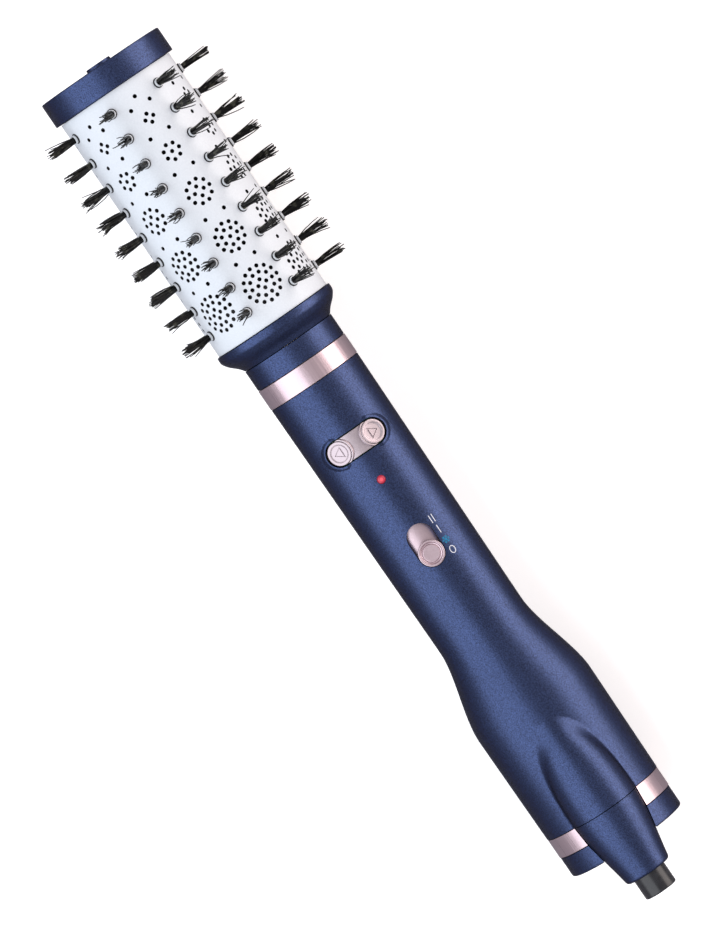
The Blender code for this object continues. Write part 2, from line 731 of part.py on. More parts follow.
def make_rear_casing():
    stations = [CASING_START, *flare_stations(5), CASING_END]
    angles = [math.radians(-90 + 15 * i) for i in range(13)]
    casing = shell_half("rear_casing", BLUE, stations, angles, -1, False)
    inner = [body_radius(along) - CASING_WALL for along in SCREWS_ALONG]
    posts = [post_mesh(a, -r - POST_OVERLAP, -GAP / 2, REAR_POST_RADIUS, 12) for a, r in zip(SCREWS_ALONG, inner)]
    combine(casing, "UNION", add_object("rear_posts", None, *joined_mesh(posts)))
    heads = [post_mesh(along, -0.03, SCREW_SEAT, SCREW_HEAD_RADIUS + GAP) for along in SCREWS_ALONG]
    shanks = [post_mesh(along, SCREW_SEAT - 0.001, 0.001, SCREW_RADIUS + GAP, 8) for along in SCREWS_ALONG]
    combine(casing, "DIFFERENCE", add_object("head_holes", None, *joined_mesh(heads)))
    combine(casing, "DIFFERENCE", add_object("shank_holes", None, *joined_mesh(shanks)))


def make_casing_screw(number, along):
    head = SCREW_SEAT - GAP
    top = head - SCREW_HEAD_HEIGHT
    outline = [(top, 0.0), (top, SCREW_HEAD_RADIUS), (head, SCREW_HEAD_RADIUS)]
    outline += [(head, SCREW_RADIUS), (SCREW_TIP, SCREW_RADIUS), (SCREW_TIP, 0.0)]
    place = Matrix.Translation((-along, 0, 0))
    turned(f"casing_screw_{number}", STEEL, outline, 10, place, (-along, 0, 0))


# ---- Tail and cord entry ----


def boot_notch(name):
    """A cutter that follows the boot's outside, for the pieces that it passes through."""
    outline = [(along, radius + NOTCH_CLEARANCE) for along, radius in BOOT_SHAPE]
    first, last = outline[0], outline[-1]
    outline = [(first[0] - 0.001, 0.0), (first[0] - 0.001, first[1]), *outline, (last[0], 0.0)]
    return turned(name, None, outline, 28, along_x(z=BOOT_OFFSET))


def make_lower_trim_ring():
    low = CASING_END + GAP
    outline = tube(low, LOWER_TRIM_END, LOWER_TRIM_BORE, LOWER_TRIM_RADIUS)
    ring = turned("lower_trim_ring", ROSE_GOLD, outline, 32)
    combine(ring, "DIFFERENCE", boot_notch("trim_notch"))


def make_tail_ring():
    low = LOWER_TRIM_END + GAP
    outline = [(low, TAIL_RADIUS), (TAIL_END - 0.002, TAIL_RADIUS), (TAIL_END - TAIL_EDGE, TAIL_RADIUS - TAIL_EDGE)]
    outline += [(TAIL_END, TAIL_RADIUS - 0.002), (TAIL_END, TAIL_BORE), (low, TAIL_BORE)]
    ring = turned("tail_ring", BLUE, outline, 32)
    combine(ring, "DIFFERENCE", boot_notch("tail_notch"))


def make_inlet_grille():
    """A slotted disc inside the tail ring, cut away where the cord boot passes."""
    low, high = GRILLE_START, GRILLE_END
    radius = TAIL_BORE - GAP
    grille = turned("inlet_grille", BLACK, rod(low, high, radius), 32)
    slots = []
    for i in range(SLOT_COUNT):
        z = SLOT_PITCH * (1 - i)
        half = math.sqrt((radius - GRILLE_RIM) ** 2 - z * z)
        outline = [(-half, z - SLOT_HALF), (half, z - SLOT_HALF), (half, z + SLOT_HALF), (-half, z + SLOT_HALF)]
        points, faces = extruded_mesh(outline, -high - 0.001, -low + 0.001)
        slots.append(([(across, y, z) for y, z, across in points], faces))
    cutter = add_object("grille_slots", None, *joined_mesh(slots))
    combine(grille, "DIFFERENCE", boot_notch("grille_notch"), cutter)


def make_cord_boot():
    start = CASING_END + GAP
    outline = list(BOOT_SHAPE)
    seat = GLAND_FLANGE_END + GAP
    mouth = GLAND_RADIUS + BOOT_SEAT_CLEARANCE
    outline += [(BOOT_END, mouth), (seat, mouth)]
    outline += [(seat, GLAND_FLANGE_RADIUS + BOOT_SEAT_CLEARANCE), (start, GLAND_FLANGE_RADIUS + 0.002)]
    turned("cord_boot", BLUE, outline, 24, along_x(z=BOOT_OFFSET))


def make_cord_gland():
    hole = CORD_HOLE_RADIUS
    outline = [(GLAND_FLANGE_START, hole), (GLAND_FLANGE_START, GLAND_FLANGE_RADIUS)]
    outline += [(GLAND_FLANGE_END, GLAND_FLANGE_RADIUS), (GLAND_FLANGE_END, GLAND_RADIUS)]
    outline += [(GLAND_END - 0.0005, GLAND_RADIUS), (GLAND_END, GLAND_RADIUS - 0.0005), (GLAND_END, hole)]
    turned("cord_gland", BLACK, outline, 20, along_x(z=BOOT_OFFSET), (0, 0, BOOT_OFFSET))


def make_mains_lead():
    """The lead from the gland to the circuit board, over the fan shroud and past the screw posts."""
    route = [(0.3622, 0.0, 0.0200), (0.350, 0.0, 0.0212), (0.336, 0.0, 0.0240), (0.311, 0.0, 0.0242)]
    route += [(0.302, 0.001, 0.0205), (0.290, 0.004, 0.0165), (0.272, 0.0072, 0.0130), (0.256, 0.0075, 0.0122)]
    route += [(0.246, 0.0070, 0.0116), (BOARD_END + GAP, 0.0068, 0.0109)]
    curve = bpy.data.curves.new("mains_lead", "CURVE")
    curve.dimensions = "3D"
    curve.bevel_depth = 0.0009
    curve.bevel_resolution = 1
    curve.use_fill_caps = True
    spline = curve.splines.new("POLY")
    spline.points.add(len(route) - 1)
    for point, (along, y, z) in zip(spline.points, route):
        point.co = (-along, y, z, 1.0)
    lead = bpy.data.objects.new("mains_lead", curve)
    curve.materials.append(make_material("mains_lead", BLACK))
    bpy.context.scene.collection.objects.link(lead)


# ---- Fan ----


def make_fan_motor():
    bore = FAN_SHAFT_RADIUS + GAP
    depth = FAN_MOTOR_END - FAN_SHAFT_DEPTH
    outline = [(FAN_MOTOR_START, 0.0), (FAN_MOTOR_START, FAN_MOTOR_RADIUS - 0.001)]
    outline += [(FAN_MOTOR_START + 0.001, FAN_MOTOR_RADIUS), (FAN_MOTOR_END, FAN_MOTOR_RADIUS)]
    outline += [(FAN_MOTOR_END, bore), (depth, bore), (depth, 0.0)]
    turned("fan_motor", STEEL, outline, 24)


def make_fan_shaft():
    turned("fan_shaft", STEEL, rod(FAN_MOTOR_END - FAN_SHAFT_DEPTH + GAP, IMPELLER_END - 0.002, FAN_SHAFT_RADIUS), 10)


def make_fan_housing():
    """A shroud round the impeller, with three arms that hold the motor's clamp ring."""
    start = FAN_MOTOR_END - 0.004
    clamp = FAN_MOTOR_RADIUS + GAP
    outer = FAN_SHROUD_BORE + FAN_SHROUD_WALL
    housing = turned("fan_housing", GREY, tube(start, FAN_SHROUD_END, FAN_SHROUD_BORE, outer), 28)
    combine(housing, "UNION", turned("fan_clamp", None, tube(start, FAN_MOTOR_END, clamp, clamp + FAN_CLAMP_WALL), 20))
    half = FAN_ARM_HALF
    for i in range(FAN_ARM_COUNT):
        outline = [(-start - 0.0005, -half), (-FAN_MOTOR_END + 0.0005, -half)]
        outline += [(-FAN_MOTOR_END + 0.0005, half), (-start - 0.0005, half)]
        place = radial(math.tau * (i + 0.5) / FAN_ARM_COUNT)
        arm = extruded(f"fan_arm_{i}", None, outline, clamp + 0.0008, FAN_SHROUD_BORE + 0.0009, place)
        combine(housing, "UNION", arm)


def make_fan_impeller():
    hub = IMPELLER_HUB
    bore = FAN_SHAFT_RADIUS + GAP
    outline = [(IMPELLER_START, bore), (IMPELLER_START, hub), (IMPELLER_END - 0.001, hub)]
    outline += [(IMPELLER_END, hub - 0.002), (IMPELLER_END, 0.0), (IMPELLER_END - 0.0017, 0.0)]
    outline += [(IMPELLER_END - 0.0017, bore)]
    impeller = turned("fan_impeller", BLACK, outline, 21)
    middle = (IMPELLER_START + IMPELLER_END) / 2
    for i in range(BLADE_COUNT):
        outline = [(-BLADE_HALF, -0.0005), (BLADE_HALF, -0.0005), (BLADE_HALF, 0.0005), (-BLADE_HALF, 0.0005)]
        points, faces = extruded_mesh(outline, hub - 0.0015, FAN_SHROUD_BORE - 0.0012)
        place = radial(math.tau * i / BLADE_COUNT) @ Matrix.Translation((-middle, 0, 0))
        pitched = place @ Matrix.Rotation(BLADE_PITCH, 4, "Z")
        combine(impeller, "UNION", add_object(f"blade_{i}", None, placed(points, pitched), faces))


# ---- Controls ----


def button_tilt():
    return math.asin(BUTTON_SIDE / BUTTON_SURFACE)


def button_place(side):
    """A placement whose Z runs out along a button's own axis. The left button is on +Y."""
    return radial(-side * button_tilt()) @ Matrix.Translation((-BUTTON_ALONG, 0, 0))


def make_button(name, side):
    outline = [(BUTTON_FOOT, 0.0), (BUTTON_FOOT, 0.001), (BUTTON_BACK, 0.001), (BUTTON_BACK, BUTTON_RADIUS)]
    outline += [(BUTTON_TOP - 0.0002, BUTTON_RADIUS), (BUTTON_TOP, BUTTON_RADIUS - 0.0002)]
    outline += [(BUTTON_TOP, BUTTON_RADIUS - BUTTON_RIM), (BUTTON_DISH, BUTTON_RADIUS - BUTTON_RIM - GAP)]
    outline += [(BUTTON_DISH, 0.0)]
    place = button_place(side)
    turned(name, ROSE_GOLD, outline, 20, place, place @ Vector((0, 0, BUTTON_BACK)))


def make_button_plate():
    """The waisted plate between the two buttons, curved with the handle."""
    low, high = BUTTON_ALONG - PLATE_HALF_LENGTH, BUTTON_ALONG + PLATE_HALF_LENGTH
    plate = turned("button_plate", ROSE_GOLD, tube(low, high, BUTTON_BACK, PLATE_RADIUS), 72)
    half = PLATE_HALF_WIDTH
    inside = block("plate_window", None, (low - 0.001, -half, 0.005), (high + 0.001, half, 0.03))
    combine(plate, "INTERSECT", inside)
    for side in (1, -1):
        cut = rod(0.008, 0.026, BUTTON_RADIUS + GAP)
        combine(plate, "DIFFERENCE", turned(f"plate_cut_{side + 1}", None, cut, 24, button_place(side)))


def make_tact_switch(name, side):
    middle = side * TACT_SIDE
    low = (BUTTON_ALONG - TACT_HALF, middle - TACT_HALF, BOARD_HIGH + GAP)
    block(name, BLACK, low, (BUTTON_ALONG + TACT_HALF, middle + TACT_HALF, TACT_TOP))


def make_indicator_lens():
    surface = body_radius(LENS_ALONG)
    flange = LENS_RADIUS + LENS_FLANGE
    outline = [(surface - 0.0034, 0.0), (surface - 0.0034, flange)]
    outline += [(surface - 0.0026, flange), (surface - 0.0026, LENS_RADIUS)]
    outline += [(surface, LENS_RADIUS), (surface + 0.0002, LENS_RADIUS - 0.0003), (surface + 0.0002, 0.0)]
    place = Matrix.Translation((-LENS_ALONG, 0, 0))
    turned("indicator_lens", RED, outline, 16, place)


def make_status_led():
    foot = BOARD_HIGH + GAP
    outline = [(foot, 0.0), (foot, LED_RADIUS), (LED_TOP - 0.0008, LED_RADIUS)]
    outline += [(LED_TOP, LED_RADIUS - 0.0005), (LED_TOP, 0.0)]
    turned("status_led", RED, outline, 12, Matrix.Translation((-LENS_ALONG, 0, 0)))


def make_switch_plate():
    """The curved plate that slides with the knob, under the casing, and closes the slot at both ends of its travel."""
    half = SWITCH_RADIUS + SLIDE_MARGIN
    low = SWITCH_OFF - SWITCH_TRAVEL - half
    high = SWITCH_OFF + SWITCH_TRAVEL + half
    outline = tube(low, high, SLIDE_RADIUS - SLIDE_WALL, SLIDE_RADIUS)
    plate = turned("switch_plate", ROSE_GOLD, outline, 48, None, (-SWITCH_OFF, 0, SLIDE_RADIUS))
    window = block("slide_window", None, (low - 0.001, -half, 0.005), (high + 0.001, half, 0.03))
    stem = turned("stem_hole", None, rod(0.010, 0.020, STEM_RADIUS + GAP), 16, Matrix.Translation((-SWITCH_OFF, 0, 0)))
    combine(plate, "INTERSECT", window)
    combine(plate, "DIFFERENCE", stem)


def make_switch_knob():
    outline = [(KNOB_FOOT, 0.0), (KNOB_FOOT, STEM_RADIUS), (KNOB_BACK, STEM_RADIUS), (KNOB_BACK, SWITCH_RADIUS)]
    outline += [(KNOB_TOP - 0.0002, SWITCH_RADIUS), (KNOB_TOP, SWITCH_RADIUS - 0.0003)]
    outline += [(KNOB_TOP, SWITCH_RADIUS - 0.001), (KNOB_TOP - 0.0008, SWITCH_RADIUS - 0.0016), (KNOB_TOP - 0.001, 0.0)]
    place = Matrix.Translation((-SWITCH_OFF, 0, 0))
    turned("switch_knob", ROSE_GOLD, outline, 20, place, (-SWITCH_OFF, 0, KNOB_BACK))


def make_speed_switch():
    half = SWITCH_BODY_HALF
    low = (SWITCH_OFF - SWITCH_TRAVEL - half, -half, BOARD_HIGH + GAP)
    switch = block("speed_switch", BLACK, low, (SWITCH_OFF + half, half, SWITCH_BODY_TOP))
    groove = obround((-SWITCH_OFF, 0), (-SWITCH_OFF + SWITCH_TRAVEL, 0), STEM_RADIUS + 0.0004, 4)
    combine(switch, "DIFFERENCE", extruded("switch_groove", None, groove, 0.0128, 0.016))


def make_circuit_board():
    low = (BOARD_START, -BOARD_HALF_WIDTH, BOARD_LOW)
    block("circuit_board", BOARD_GREEN, low, (BOARD_END, BOARD_HALF_WIDTH, BOARD_HIGH))


# ---- The whole brush ----


def clear_scene():
    for obj in list(bpy.data.objects):
        bpy.data.objects.remove(obj, do_unlink=True)


def make_brush_head():
    make_tip_cap()
    make_end_cap()
    make_barrel()
    for row in range(ROW_COUNT):
        make_bristle_row(row)
    make_drive_hub()
    make_drive_shaft()


def make_brush_drive():
    make_output_gear()
    make_idler_gear()
    make_idler_pin()
    make_motor_pinion()
    make_motor_shaft()
    make_gearbox_housing()
    make_motor_plate()
    make_rear_bush()
    make_brush_motor()


def make_neck():
    make_barrel_collar()
    make_neck_sleeve()
    make_upper_trim_ring()
    make_bearing_spider()
    make_front_bush()
    make_heat_shield()
    make_heater_frame()
    make_heater_coil()
    make_thermal_cutout()


def make_handle():
    make_front_casing()
    make_rear_casing()
    for i, along in enumerate(SCREWS_ALONG):
        make_casing_screw(i + 1, along)
    make_lower_trim_ring()
    make_tail_ring()
    make_inlet_grille()
    make_cord_boot()
    make_cord_gland()
    make_mains_lead()


def make_fan():
    make_fan_motor()
    make_fan_shaft()
    make_fan_housing()
    make_fan_impeller()


def make_controls():
    make_button("left_button", 1)
    make_button("right_button", -1)
    make_button_plate()
    make_tact_switch("left_tact_switch", 1)
    make_tact_switch("right_tact_switch", -1)
    make_indicator_lens()
    make_status_led()
    make_switch_plate()
    make_switch_knob()
    make_speed_switch()
    make_circuit_board()


clear_scene()
make_brush_head()
make_brush_drive()
make_neck()
make_handle()
make_fan()
make_controls()
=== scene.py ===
"""Looks of the rotating hot air brush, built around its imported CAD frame.

The brush lies along X with its tip at the origin, so "along" is the distance from the tip, at x = -along.
Angles round the brush are measured from +Z, where the controls are, towards -Y. Lengths are in metres.
A table called SHAPE is the section of a turned solid, each corner as (along or height, radius, fillet).
"""

import json
import math
import random

import bmesh
import bpy
from mathutils import Matrix, Vector
from mathutils.geometry import delaunay_2d_cdt

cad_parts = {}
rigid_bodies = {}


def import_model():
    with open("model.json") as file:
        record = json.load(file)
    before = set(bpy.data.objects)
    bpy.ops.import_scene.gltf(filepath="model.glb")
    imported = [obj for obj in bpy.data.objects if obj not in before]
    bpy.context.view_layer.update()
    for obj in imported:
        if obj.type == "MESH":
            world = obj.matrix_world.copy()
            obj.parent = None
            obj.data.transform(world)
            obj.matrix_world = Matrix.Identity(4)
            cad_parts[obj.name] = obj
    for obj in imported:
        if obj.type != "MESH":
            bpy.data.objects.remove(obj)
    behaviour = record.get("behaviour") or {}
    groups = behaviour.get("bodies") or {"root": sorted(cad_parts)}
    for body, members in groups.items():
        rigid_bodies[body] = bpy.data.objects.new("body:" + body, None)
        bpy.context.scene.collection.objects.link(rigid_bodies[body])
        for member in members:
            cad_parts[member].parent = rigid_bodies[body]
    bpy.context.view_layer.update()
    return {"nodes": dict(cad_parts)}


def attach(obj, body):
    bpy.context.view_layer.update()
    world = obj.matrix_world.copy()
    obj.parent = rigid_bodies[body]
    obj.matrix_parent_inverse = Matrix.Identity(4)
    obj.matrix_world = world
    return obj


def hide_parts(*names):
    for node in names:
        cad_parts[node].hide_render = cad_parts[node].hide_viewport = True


for old in list(bpy.data.objects):
    bpy.data.objects.remove(old, do_unlink=True)
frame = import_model()

SEAM = 0.0003

# Camera and studio
VIEW_ROLL = math.radians(55.66)
CAMERA_ALONG = 0.045
CAMERA_DISTANCE = 3.0
FRAME_CENTRE = Vector((-0.1844, 0.0034, 0.0))
FRAME_HEIGHT = 0.358
FLOOR_SIZE = 8.0
FLOOR_CONTACT = (0.111, -0.0389)
FLOOR_SLOPE = 0.056
SENSOR = 36
LIGHTS_ALONG = 0.18
# Each soft light's name, angle in degrees, distance, size, power and colour
SOFTBOXES = (
    ("left_softbox", -46, 1.3, (2.4, 1.7), 25, (0.90, 0.95, 1.0)),
    ("right_softbox", 80, 1.3, (2.4, 1.5), 36, (1.0, 0.90, 0.84)),
)

# Brush head
CAP_RADIUS = 0.027
CAP_FACE = 0.0014
CAP_END = 0.0118
CAP_BORE = 0.0033
CAP_WALL = 0.002
CAP_FLOOR = CAP_FACE + 0.0022
PLUG_END = CAP_END + 0.0038
TIP_BACK = CAP_FACE - SEAM
TIP_SHAPE = (
    (0.0, 0.0), (0.0, 0.00535, 0.0004), (TIP_BACK, 0.00535), (TIP_BACK, 0.003),
    (0.0047, 0.003), (0.0047, 0.0),
)
BARREL_RADIUS = 0.025
BARREL_WALL = 0.0012
BARREL_START = CAP_END + SEAM
BARREL_END = 0.1196
ROW_COUNT = 7
ROW_PHASE = math.radians(-14.8)
ROW_PITCH = math.tau / ROW_COUNT
TUFT_COUNT = 9
TUFT_FIRST = 0.0194
TUFT_PITCH = 0.01145
TUFT_REACH = 0.0395
TUFT_RAGGED = 0.0022
TUFT_CROWN = 0.0008
TUFT_FOOT = 0.00115
TUFT_FAN = (0.0014, 0.0028)
STRAY_SHARE = 0.12
STRAY_FAN = (0.0006, 0.0018)
BRISTLES_PER_TUFT = 20
BRISTLE_RADIUS = 0.00027
BRISTLE_BOW = (0.0001, 0.0006)
BRISTLE_SIDES = 5
GROMMET_RADIUS = 0.0018
GROMMET_TOP = BARREL_RADIUS + 0.0013
GROMMET_DEPTH = 0.0008
BOSS_HOLE_RADIUS = 0.00187
BOSS_HOLE_SIDES = 24
HOLE_BEVEL = 0.0001
SHEET_SIDE = 0.0087
SHEET_COLUMNS = 14
SHEET_ROWS = 62
STRIP_LOW = 0.0216
STRIP_HIGH = 0.0232
STRIP_HALF_WIDTH = 0.0033
STRIP_START = 0.016
STRIP_END = 0.115
# The grommet that holds a tuft, and the dark rim round it
GROMMET_SHAPE = (
    (STRIP_LOW + 0.0005, 0.0), (STRIP_LOW + 0.0005, GROMMET_RADIUS), (GROMMET_TOP, GROMMET_RADIUS, 0.0003),
    (GROMMET_TOP, 0.00135, 0.0002), (GROMMET_TOP - GROMMET_DEPTH, 0.0012), (GROMMET_TOP - GROMMET_DEPTH, 0.0),
)
RIM_SHAPE = (
    (BARREL_RADIUS - 0.0002, GROMMET_RADIUS), (BARREL_RADIUS - 0.0002, 0.0021),
    (BARREL_RADIUS + 0.0005, 0.0021, 0.0002), (BARREL_RADIUS + 0.0005, GROMMET_RADIUS),
)
# A near-black sleeve inside the barrel, which is painted shade behind the air holes
SHADE_SLEEVE_START = CAP_END + 0.0045
SHADE_SLEEVE_END = 0.105
SHADE_SLEEVE_RADIUS = STRIP_LOW - 0.0008
SHADE_SLEEVE_WALL = 0.0004
AIR_HOLE_RADIUS = 0.00084
AIR_HOLE_SIDES = 12
LONE_HOLE_ALONG = 0.0187
PAIRS_ALONG = (0.0226, 0.0357, 0.0521, 0.0729, 0.0936)
PAIR_SIDE = 0.0044
# Each cluster: how far along it is, whether it has a centre hole, and its rings, each as
# (holes, radius, first hole's angle in degrees)
CLUSTERS = (
    (0.0286, False, ((4, 0.0019, 2),)),
    (0.0440, True, ((7, 0.0033, -12),)),
    (0.0624, False, ((4, 0.0021, 2), (10, 0.0049, 18))),
    (0.0833, True, ((7, 0.0033, -12), (12, 0.0058, 1))),
    (0.1051, False, ((4, 0.0019, 2), (10, 0.0047, 19), (15, 0.0072, 20))),
)

# Handle
NECK_BORE = 0.017
NECK_RADIUS = 0.01995
NECK_END = 0.1390
COLLAR_START = 0.1199
COLLAR_END = 0.1299
COLLAR_RADIUS = 0.026
# Outside from the barrel to the neck, then back inside
COLLAR_SHAPE = (
    (COLLAR_START, COLLAR_RADIUS, 0.0003), (COLLAR_START + 0.0028, COLLAR_RADIUS + 0.0001, 0.0012),
    (COLLAR_START + 0.0055, 0.0241, 0.0010), (COLLAR_START + 0.0080, 0.0213, 0.0011),
    (COLLAR_END, NECK_RADIUS - 0.0001), (COLLAR_END, NECK_BORE), (COLLAR_START, NECK_BORE),
    (COLLAR_START, NECK_BORE + 0.0015), (COLLAR_END - 0.003, NECK_BORE + 0.0015),
    (COLLAR_START + 0.003, COLLAR_RADIUS - 0.0025), (COLLAR_START, COLLAR_RADIUS - 0.002),
)
UPPER_TRIM_RADIUS = NECK_RADIUS + 0.0001
UPPER_TRIM_END = 0.1480
TRIM_EDGE = 0.00015
CASING_START = UPPER_TRIM_END + SEAM
CASING_END = 0.3454
CASING_WALL = 0.002
GRIP_END_RADIUS = 0.0190
FLARE_START = 0.2638
FLARE_END = 0.2978
BULGE_RADIUS = 0.02595
BULGE_END_RADIUS = 0.0255
FLARE_SOFTNESS = 0.0028
CREASE = 0.0008
NOSE_CREASE = 0.0042
SHELL_STEPS = 120
# Where the casing's sections lie: from, to, and how far apart
SHELL_SPANS = (
    (CASING_START, FLARE_START - 0.003, 0.004),
    (FLARE_START - 0.003, 0.303, 0.001),
    (0.303, CASING_END, 0.0007),
)
POST_RADIUS = 0.0045
POST_ROOT = 0.0008
SCREWS_ALONG = (0.246, 0.272)
SCREW_SEAT = -0.008
SCREW_HEAD_RADIUS = 0.0024
SCREW_RADIUS = 0.0011
LOWER_TRIM_END = 0.3539
LOWER_TRIM_RADIUS = 0.0254
LOWER_TRIM_BORE = 0.0222
TAIL_END = 0.3630
TAIL_RADIUS = 0.0252
TAIL_BORE = 0.0205
GRILLE_START = TAIL_END - 0.004
GRILLE_END = TAIL_END - 0.0018
GRILLE_SLOTS = 7
GRILLE_FIRST_SLOT = 0.0032
GRILLE_PITCH = 0.0032
GRILLE_SLOT_HALF = 0.0008
GRILLE_RIM = 0.002

# Cord boot and gland, on their own axis in front of the main one
BOOT_OFFSET = 0.020
FAIRING_RADIUS = 0.0142
FAIRING_LENGTH = 0.037
FAIRING_BACK = 0.341
BOOT_END = 0.3754
# The boot's outside only
BOOT_SHAPE = (
    (CASING_END + SEAM, 0.0141, 0.0001), (LOWER_TRIM_END, 0.0135, 0.004), (0.3628, 0.0120, 0.003),
    (0.3693, 0.0107, 0.002), (BOOT_END, 0.0096, 0.0012),
)
BOOT_MOUTH = 0.0110
BOOT_POCKET = 0.0094
BOOT_POCKET_END = 0.3669
GLAND_RADIUS = 0.00685
GLAND_CLEARANCE = 0.00035
GLAND_START = 0.3625
GLAND_END = 0.3843
CORD_HOLE_RADIUS = 0.0036
# Hole, flange inside the boot, sleeve outside it
GLAND_SHAPE = (
    (GLAND_START, CORD_HOLE_RADIUS), (GLAND_START, 0.009), (0.3662, 0.009), (0.3662, GLAND_RADIUS),
    (GLAND_END, GLAND_RADIUS, 0.0007), (GLAND_END, CORD_HOLE_RADIUS, 0.0004),
)
MOULD_LINE_START = 0.3764
MOULD_LINE_END = GLAND_END - 0.0012
MOULD_LINE_HALF = 0.00012
MOULD_LINE_ROOT = GLAND_RADIUS - 0.0002
MOULD_LINE_TOP = GLAND_RADIUS + 0.00006
MOULD_LINE_ANGLE = 0.06

# Controls
BUTTON_ALONG = 0.1759
BUTTON_SIDE = 0.0077
BUTTON_RADIUS = 0.00485
BUTTON_SURFACE = 0.01972
BUTTON_UNDERSIDE = 0.0174
# Stem, flat underside, rim and dished top
BUTTON_SHAPE = (
    (0.0161, 0.0), (0.0161, 0.001), (BUTTON_UNDERSIDE, 0.001), (BUTTON_UNDERSIDE, BUTTON_RADIUS),
    (0.0201, BUTTON_RADIUS, 0.0004), (0.0201, BUTTON_RADIUS - 0.0011, 0.0004),
    (0.01975, BUTTON_RADIUS - 0.0016, 0.0003), (0.0197, 0.0),
)
TRIANGLE = ((0.0022, -0.0013), (-0.0022, -0.0013), (0.0, 0.0023))
TRIANGLE_SHIFT = -0.0002
GROOVE_SHARES = (1.1, 0.76)
GROOVE_LIFTS = (0.0193, 0.0203)
PILL_RADIUS = 0.0054
LIP_HEIGHT = 0.0006
LIP_WIDTH = 0.0017
LIP_ROOT = -0.0006
# The section of the lip round the buttons, as (outwards, upwards)
LIP_SECTION = (
    (0.0, LIP_ROOT), (0.0, LIP_HEIGHT - 0.00015), (0.00015, LIP_HEIGHT), (0.0005, LIP_HEIGHT),
    (0.0008, LIP_HEIGHT - 0.00007), (0.0011, LIP_HEIGHT * 0.5), (0.0014, LIP_HEIGHT * 0.12),
    (LIP_WIDTH, -0.00002), (LIP_WIDTH, LIP_ROOT),
)
PLATE_HALF = 0.00495
PLATE_SURFACE = 0.0195
BUTTON_BORE = BUTTON_RADIUS + SEAM / 2
BUTTON_COLLAR_SHAPE = (
    (0.0190, BUTTON_BORE), (0.0199, BUTTON_BORE, 0.0001), (0.0199, BUTTON_BORE + 0.0006, 0.0003),
    (0.0190, BUTTON_BORE + 0.0008),
)
LENS_ALONG = 0.1930
LENS_RADIUS = 0.00145
# Heights above the grip's surface
LENS_SHAPE = (
    (-0.0034, 0.0), (-0.0034, LENS_RADIUS + 0.0006), (-0.0026, LENS_RADIUS + 0.0006), (-0.0026, LENS_RADIUS),
    (0.0002, LENS_RADIUS, 0.0004), (0.0003, 0.0),
)
SWITCH_OFF = 0.2272
SWITCH_TRAVEL = 0.0072
SWITCH_RADIUS = 0.0052
SWITCH_CLEARANCE = 0.00035
SWITCH_STEM_RADIUS = 0.0013
SLIDE_RADIUS = 0.0168
SLIDE_THICKNESS = 0.0010
SLIDE_MARGIN = 0.0006
# Stem, flat underside, rim, groove and dished top
KNOB_SHAPE = (
    (0.0131, 0.0), (0.0131, 0.0010), (0.0179, 0.0010), (0.0179, SWITCH_RADIUS),
    (0.0206, SWITCH_RADIUS, 0.0003), (0.0206, 0.0044, 0.0002), (0.0199, 0.0041, 0.0002),
    (0.0197, 0.0036, 0.0001), (0.0202, 0.0033, 0.0002), (0.01995, 0.0),
)
MARK_SIDE = -0.0076
MARK_LIFT = 0.00004
MARK_STROKE = 0.0003
MARK_HALF = 0.0017
TWO_ALONG = 0.2164
TWO_GAP = 0.0006
ONE_ALONG = 0.2211
COOL_ALONG = 0.2260
NOUGHT_ALONG = 0.2306

# Cutters: the heights that a cut through the grip's wall spans, and how far others pass what they cut
CUT_LOW = 0.010
CUT_HIGH = 0.024
TRIM_LOW = 0.005
TRIM_HIGH = 0.030
OVERRUN = 0.001


# ---- Materials ----


def set_inputs(node, values):
    for socket, value in values.items():
        node.inputs[socket].default_value = value


def new_node(material, kind, values=None):
    node = material.node_tree.nodes.new("ShaderNode" + kind)
    set_inputs(node, values or {})
    return node


def new_material(name, colour, roughness, metallic=0.0, sockets=None):
    material = bpy.data.materials.new(name)
    material.use_nodes = True
    values = {"Base Color": (*colour, 1.0), "Roughness": roughness, "Metallic": metallic, **(sockets or {})}
    set_inputs(material.node_tree.nodes["Principled BSDF"], values)
    return material


def wire(material, *links):
    """Adds links, each given as a node, its output, the next node and its input."""
    for node, result, target, entry in links:
        material.node_tree.links.new(node.outputs[result], target.inputs[entry])


def add_noise(material, scale, detail, stretch=(1, 1, 1)):
    """A noise texture in the object's own coordinates. Its scale is in cycles per metre."""
    coordinates = new_node(material, "TexCoord")
    mapping = new_node(material, "Mapping", {"Scale": stretch})
    noise = new_node(material, "TexNoise", {"Scale": scale, "Detail": detail})
    wire(material, (coordinates, "Object", mapping, "Vector"), (mapping, "Vector", noise, "Vector"))
    return noise


def feed(material, noise, node, entry, result, socket):
    """Leads the noise through this node to a socket of the shader."""
    shader = material.node_tree.nodes["Principled BSDF"]
    wire(material, (noise, "Fac", node, entry), (node, result, shader, socket))


def set_ramp(node, low, high, start, end):
    for element, position, colour in zip(node.color_ramp.elements, (start, end), (low, high)):
        element.position = position
        element.color = (*colour, 1.0)


def vary_colour(material, noise, low, high, start=0.3, end=0.7):
    ramp = new_node(material, "ValToRGB")
    set_ramp(ramp, low, high, start, end)
    feed(material, noise, ramp, "Fac", "Color", "Base Color")


def vary_roughness(material, noise, low, high):
    values = {"From Min": 0.3, "From Max": 0.7, "To Min": low, "To Max": high}
    spread = new_node(material, "MapRange", values)
    feed(material, noise, spread, "Value", "Result", "Roughness")


def add_bump(material, noise, distance, strength):
    bump = new_node(material, "Bump", {"Distance": distance, "Strength": strength})
    feed(material, noise, bump, "Height", "Normal", "Normal")


